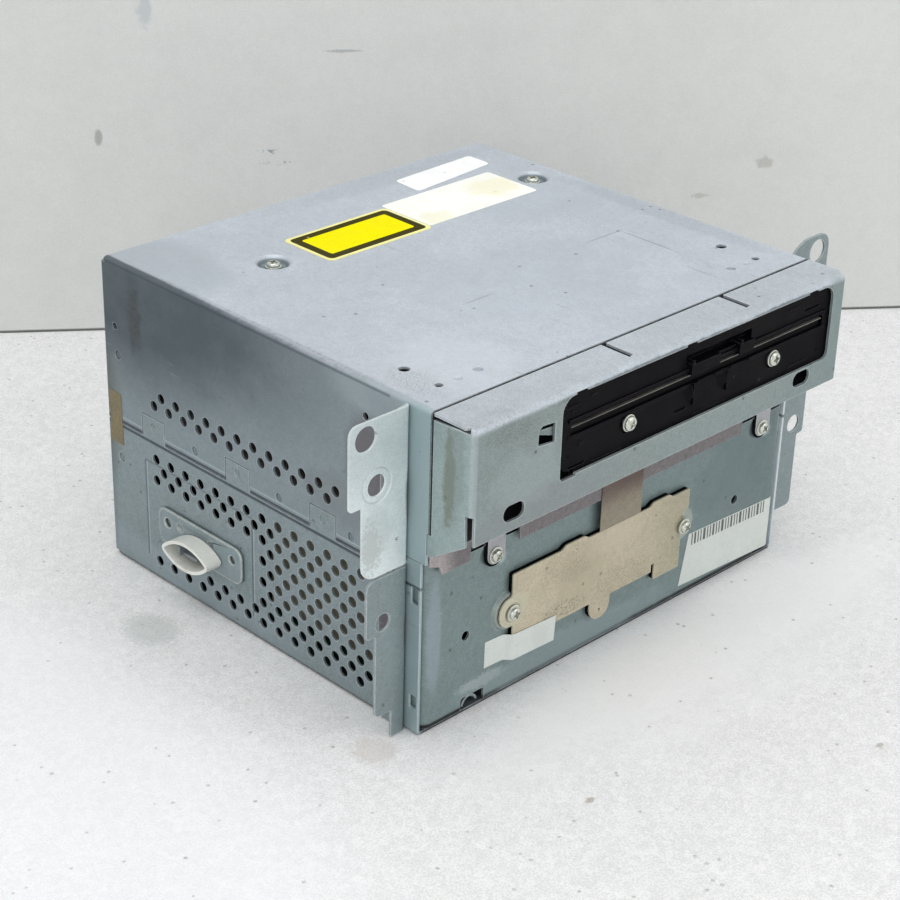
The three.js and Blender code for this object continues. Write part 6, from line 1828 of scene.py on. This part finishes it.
@dataclass
class Inside:
    """The parts inside and behind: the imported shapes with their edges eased, each in its own finish."""

    eased: dict[str, tuple[str, Finish, str]] = field(default_factory=lambda: {
        "aerial_jack": ("aerial_jack_body", BRIGHT_STEEL, "bright_steel"),
        "position_jack": ("position_jack_body", BRIGHT_STEEL, "bright_steel"),
        "harness_socket": ("harness_socket_body", BLACK_PLASTIC, "black_plastic"),
        "fan_frame": ("fan_frame_body", BLACK_PLASTIC, "black_plastic"),
        "pickup_sled": ("pickup_sled_body", CAST_METAL, "cast_metal"),
        "turntable": ("turntable_body", BLACK_PLASTIC, "black_plastic"),
        "clamp_arm": ("clamp_arm_body", INNER_ZINC, "zinc_sheet"),
        "fan_rotor": ("fan_rotor_body", BLACK_PLASTIC, "black_plastic"),
    })
    bodies: dict[str, str] = field(default_factory=lambda: {
        "pickup_sled": "sled", "turntable": "turntable", "clamp_arm": "clamp_arm", "fan_rotor": "fan",
    })
    ease: float = 0.25
    weld: float = 0.01
    finishes: dict[str, Finish] = field(default_factory=lambda: {
        "zinc_sheet": INNER_ZINC, "front_zinc": PANEL_ZINC, "ear_zinc": EAR_ZINC, "bare_steel": BARE_STEEL,
        "screw_steel": SCREW_STEEL, "black_plastic": BLACK_PLASTIC, "white_plastic": WHITE_PLASTIC,
        "rubber": RUBBER, "circuit_board": CIRCUIT, "cast_metal": CAST_METAL, "bright_steel": BRIGHT_STEEL,
        "gear_plastic": GEAR_PLASTIC, "lens_assembly": LENS_GLASS, "flex_film": FLEX_FILM,
    })
    own: dict[str, Finish] = field(default_factory=lambda: {
        "main_board": CIRCUIT, "hard_disk": CAST_METAL, "heat_sink": BLACK_PLASTIC,
    })

    def build(self) -> None:
        """Eases the shapes that can be seen, and gives every other node its finish."""
        for node, (name, finish, slot) in self.eased.items():
            self.ease_node(node, name, finish)
        self.deck()
        slots = self.slots()
        for node, made in frame["nodes"].items():
            finish = self.own.get(node) or self.finishes[slots.get(node, "zinc_sheet")]
            for place in made.material_slots:
                place.material = finish.material()

    def slots(self) -> dict[str, str]:
        """The record's material slot of each node."""
        return {entry["node"]: entry["material_slot"] for entry in frame["record"]["subparts"]}

    def copy(self, node: str, name: str) -> Piece:
        """A welded copy of a node's mesh, without its needless edges."""
        mesh = Mesh()
        mesh.bm.from_mesh(frame["nodes"][node].data)
        verts, edges = mesh.bm.verts, mesh.bm.edges
        bmesh.ops.remove_doubles(mesh.bm, verts=verts, dist=self.weld * MM)
        bmesh.ops.dissolve_limit(mesh.bm, angle_limit=math.radians(1), verts=verts, edges=edges)
        mesh.bm.transform(Matrix.Scale(1 / MM, 4))
        return mesh.object(name)

    def deck(self) -> None:
        """The drive deck, with the slanting notch at the left end of its front lip."""
        made = self.copy("drive_deck", "drive_deck_body")
        notch = Mesh()
        outline = ((-90, 55), (-83, 55), (-83.2, 57.2), (-84.3, 60.4), (-88.3, 61.9), (-90, 61.9))
        notch.slab(outline, -81, 3.1)
        carve(made, notch.object("notch_cutter"))
        fit(settle(soften(made, 0.15, 1, 40)), DECK_ZINC, ["drive_deck"])

    def ease_node(self, node: str, name: str, finish: Finish) -> None:
        """Copies a node's mesh, welds it and rounds its edges a little."""
        made = self.copy(node, name)
        fit(settle(soften(made, self.ease, 2, 40)), finish, [node], self.bodies.get(node, "unit"))


@dataclass
class Trim:
    """The labels and tapes that are stuck on the case. All of them are bare or carry plain bars."""

    paper: float = 0.12
    top_yellow: Four = (-35.5, 12.5, 105.0, 130.0)
    top_cream: Four = (12.8, 67.5, 106.8, 132.4)
    top_white: tuple[Pair, ...] = ((33.7, 134.5), (74.7, 138.6), (74.7, 149.8), (34.5, 148.0))
    front_left: tuple[Pair, ...] = ((-61.2, 22.8), (-30.3, 21.4), (-31, 12.1), (-61.3, 13.1))
    front_right: tuple[Pair, ...] = ((39.7, 24.4), (86.6, 22.3), (86.5, 2.4), (36, 4.8))
    panel: float = -77.2
    bar_widths: tuple[float, ...] = (0.5, 0.9, 0.5, 0.5, 1.2, 0.5)
    bar_height: float = 4.6
    tape_lift: float = 0.14

    def build(self) -> None:
        """Builds the labels and tapes and dresses them."""
        self.top_labels()
        self.front_labels()
        self.tapes()

    def roof_label(
        self, name: str, finish: Finish, corners: Sequence[Pair], radius: float, lift: float = 0.0
    ) -> None:
        """One label on the roof.

        Args:
            name: the piece's name.
            finish: its finish.
            corners: its corners in order.
            radius: how round they are.
            lift: how far it stands above the roof.
        """
        mesh = Mesh()
        points = [Side.TOP.at(a, b, TOP + lift) for a, b in corners]
        mesh.prism(points, Vector((0, 0, self.paper)), [radius] * len(points))
        fit(settle(soften(mesh.object(name), 0.04, 1)), finish)

    def top_labels(self) -> None:
        """The labels on the roof: a yellow one with a dark frame, a cream one and a small white one."""
        x0, x1, d0, d1 = self.top_yellow
        for name, finish, inset, radius, lift in (
            ("label_yellow_base", YELLOW_BORDER, 0, 2.2, 0),
            ("label_yellow_frame", OLIVE_FRAME, 1.4, 1.8, 0.05),
            ("label_yellow_field", YELLOW_PAPER, 4.6, 0.8, 0.1),
        ):
            corners = rect(x0 + inset, x1 - inset, d0 + inset, d1 - inset)
            self.roof_label(name, finish, corners, radius, lift)
        self.roof_label("label_cream", CREAM_PAPER, rect(*self.top_cream), 1.2)
        self.roof_label("label_white", WHITE_PAPER, self.top_white, 1.6)

    def front_labels(self) -> None:
        """The two white labels on the lower panel: one lifts over a plate, one follows the round end."""
        left = self.front_label(self.front_left)
        foot, rise, lift = -53.5, 3.6, 2.25
        left.slice(foot + rise * step / 8 for step in range(9))
        for v in left.bm.verts:
            share = min(1.0, max(0.0, (v.co.x - foot) / rise))
            v.co.y -= lift * share * share * (3 - 2 * share)
        fit(eased(left, "label_front_left"), FRONT_PAPER)
        right = self.front_label(self.front_right)
        start, radius = 84.7, 4.0
        right.slice(start + step * 0.25 for step in range(9))
        for v in right.bm.verts:
            angle = (v.co.x - start) / radius
            if angle > 0:
                out = radius + (self.panel - v.co.y)
                v.co.x = start + out * math.sin(angle)
                v.co.y = self.panel + radius - out * math.cos(angle)
        fit(eased(right, "label_front_right"), FRONT_PAPER)
        self.bars()

    def front_label(self, corners: Sequence[Pair]) -> Mesh:
        """A flat label on the lower panel."""
        mesh = Mesh()
        mesh.slab(corners, self.panel - 0.02, -0.14)
        return mesh

    def bars(self) -> None:
        """Plain bars along the top of the right label, all of one height and in an even rhythm."""
        mesh = Mesh()
        x, step = 41.4, 0
        while x < 83.2:
            wide = self.bar_widths[step % len(self.bar_widths)]
            top = 24.1 - (x - 39.7) * 0.0448
            mesh.slab(rect(x, x + wide, top - self.bar_height, top), self.panel - 0.17, -0.05)
            x += wide + 1.0
            step += 1
        fit(eased(mesh, "label_bars", merge=0), INK)

    def tapes(self) -> None:
        """The copper tape over the bay cover's top edge and the brown tape on the rear left corner."""
        shell = Shell()
        face, _ = shell.polygon([Vector((x, -79.45, z)) for x, z in rect(-10.7, 9.7, 45, 67)], [0] * 4)
        shell.face([face], Side.FRONT.normal)
        fit(shell.object("copper_tape", thickness=0.12, edge=0), COPPER_TAPE)
        shell = Shell()
        side = SIDE + self.tape_lift
        shell.wall(Side.LEFT, -side, [(152, 46), (158.6, 46.4), (158.6, 66), (152.4, 65.6)], 0.3)
        shell.upright_fold(Side.LEFT, Side.BACK, (-side, 78.6), (46.4, 66), 1.54)
        shell.wall(Side.BACK, REAR + self.tape_lift, rect(-88.6, -84, 46.4, 66))
        fit(shell.object("corner_tape", thickness=0.12, edge=0), BROWN_TAPE)


@dataclass
class Studio:
    """The pale floor and wall, the soft lights and the camera at the photograph's angle."""

    azimuth: float = -45.29
    elevation: float = 27.181
    distance: float = 747.8
    target: Three = (-11.41, -9.91, 48.92)
    roll: float = 1.6243
    lens: float = 86.16
    sky: Four = (0.94, 0.97, 1.0, 1.0)
    sky_strength: float = 0.72
    lamp_colour: Colour = (1.0, 0.985, 0.96)
    wall_distance: float = 205.94
    wall_turn: float = -37.34
    wall_size: Pair = (4800.0, 1440.0)
    wall_middle: float = 700.0
    floor_reach: float = 2400.0
    floor_level: float = -0.05
    floor_finish: Finish = Finish(
        "floor_pale", (237, 236, 236), roughness=0.75, cloud=0.012, grain=0.12, scale=0.7, bump=0.02,
        specks=1.2, speck_colour=(160, 156, 150),
        # The two white marks lift the floor in front of the panel: painted light over its shadow.
        marks=(Mark((20, -106, 0), (135, 44, 3), (255, 255, 255), 0.4, 0.6, 20),
               Mark((20, -102, 0), (120, 24, 3), (255, 255, 255), 0.5, 0.6, 20),
               # Painted light on the floor left of the case.
               Mark((-206, 20, 0), (92, 260, 3), (252, 252, 254), 0.5, 0.4, 20),
               Mark((-74.5, -136.1, 0), (2.2, 1.4, 3), (160, 146, 128), 0.6, 1.0, 600),
               # Painted shadow under the lower left ear.
               Mark((-105, -73, 0), (9, 9, 3), (196, 186, 176), 0.4, 1.8),
               Mark((14.7, -178.9, 0), (2, 1.2, 3), (150, 138, 120), 0.5, 1.0, 600),
               # Greenish soft patch beside the boss: painted shadow of the boss.
               Mark((-113, 29.7, 0), (11, 13, 3), (170, 178, 174), 0.5, 1.2, 900, 0.3)),
    )
    wall_finish: Finish = Finish(
        "wall_pale", (219, 220, 217), roughness=0.7, cloud=0.02, grain=0.03, scale=0.6, bump=0.02, scuffs=0.4,
        scuff_colour=(176, 180, 180), fades=(Fade(2, 1.5, 0.7, (104, 106, 100)),),
        marks=(Mark((83, 196, 81), (11, 9, 1.6), (108, 124, 142), 0.75, 1.6, 160, 1.0),
               Mark((86, 194, 76), (10, 8, 1.4), (108, 124, 142), 0.75, 1.6, 160, 1.0),
               Mark((107, 177, 125), (10, 8, 0.8), (150, 156, 160), 0.55, 1.2),
               Mark((25, 240, 89), (2, 2, 4), (140, 140, 134), 0.6, 1.0),
               Mark((42, 227, 143), (4, 4, 8), (186, 192, 198), 0.6, 1.4),
               Mark((256, 64, 72), (5, 4, 3), (168, 164, 156), 0.5, 1.6),
               Mark((233, 81, 57), (5, 4, 1.5), (176, 172, 164), 0.5, 1.6)),
    )

    def build(self) -> None:
        """Builds the stage, the lights and the camera."""
        self.stage()
        self.lights()
        self.camera()
        bpy.context.scene.view_settings.view_transform = "Standard"

    def stage(self) -> None:
        """The floor and the wall behind the object."""
        floor = Mesh()
        reach = self.floor_reach
        floor.block((-reach, -reach, -4), (reach, reach, self.floor_level))
        made = floor.object("floor")
        made.data.materials.append(self.floor_finish.material())
        wall = Mesh()
        turn = Matrix.Rotation(math.radians(self.wall_turn), 4, "Z")
        wide, tall = self.wall_size
        middle = turn @ Vector((0, self.wall_distance, self.wall_middle))
        place = Matrix.Translation(middle) @ turn @ FACING @ Matrix.Diagonal((wide, tall, 1, 1))
        bmesh.ops.create_grid(wall.bm, x_segments=1, y_segments=1, size=0.5, matrix=place)
        made = wall.object("backdrop")
        made.data.materials.append(self.one_sided(self.wall_finish.material()))

    def one_sided(self, material: bpy.types.Material) -> bpy.types.Material:
        """Lets light and sight through the wall from behind, so that it hides nothing from there."""
        tree = Tree(material.node_tree)
        out = next(node for node in material.node_tree.nodes if node.type == "OUTPUT_MATERIAL")
        shader = out.inputs["Surface"].links[0].from_socket
        both = tree.add("ShaderNodeMixShader")
        tree.put(both.inputs[0], tree.add("ShaderNodeNewGeometry").outputs["Backfacing"])
        tree.put(both.inputs[1], shader)
        tree.put(both.inputs[2], tree.add("ShaderNodeBsdfTransparent").outputs[0])
        tree.put(out.inputs["Surface"], both.outputs[0])
        return material

    def lights(self) -> None:
        """One broad light overhead and two weaker ones, from the front and from the left."""
        world = bpy.data.worlds.new("studio")
        bpy.context.scene.world = world
        world.use_nodes = True
        ground = world.node_tree.nodes["Background"]
        ground.inputs["Color"].default_value = self.sky
        ground.inputs["Strength"].default_value = self.sky_strength
        for name, place, size, power in (
            ("overhead", (-0.1, 0.1, 1.5), 1.5, 10.0),
            ("front_fill", (0.7, -1.5, 0.9), 1.2, 5.5),
            ("left_fill", (-1.5, -0.8, 0.7), 1.2, 4.5),
        ):
            data = bpy.data.lights.new(name, "AREA")
            data.energy = power
            data.size = size
            data.color = self.lamp_colour
            lamp = bpy.data.objects.new(name, data)
            lamp.location = place
            lamp.rotation_euler = (Vector((0, 0, 0.06)) - Vector(place)).to_track_quat("-Z", "Y").to_euler()
            bpy.context.scene.collection.objects.link(lamp)

    def camera(self) -> None:
        """The camera, at the angle, distance and lens of the photograph."""
        azimuth, elevation = math.radians(self.azimuth), math.radians(self.elevation)
        target = Vector(self.target) * MM
        away = Vector((math.sin(azimuth) * math.cos(elevation), -math.cos(azimuth) * math.cos(elevation),
                       math.sin(elevation)))
        data = bpy.data.cameras.new("camera")
        data.lens = self.lens
        data.sensor_width = 36
        data.clip_start = 0.01
        made = bpy.data.objects.new("camera", data)
        turn = (-away).to_track_quat("-Z", "Y").to_matrix() @ Matrix.Rotation(math.radians(self.roll), 3, "Z")
        made.matrix_world = Matrix.Translation(target + away * self.distance * MM) @ turn.to_4x4()
        bpy.context.scene.collection.objects.link(made)
        bpy.context.scene.camera = made


def main() -> None:
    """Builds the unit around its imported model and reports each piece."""
    logging.basicConfig(level=logging.INFO, format="%(name)s: %(message)s", stream=sys.stdout)
    for part in (Studio(), Case(), Front(), Ears(), Boss(), Screws(), Inside(), Trim()):
        log.info("%s", type(part).__name__)
        part.build()


if __name__ == "__main__":
    main()
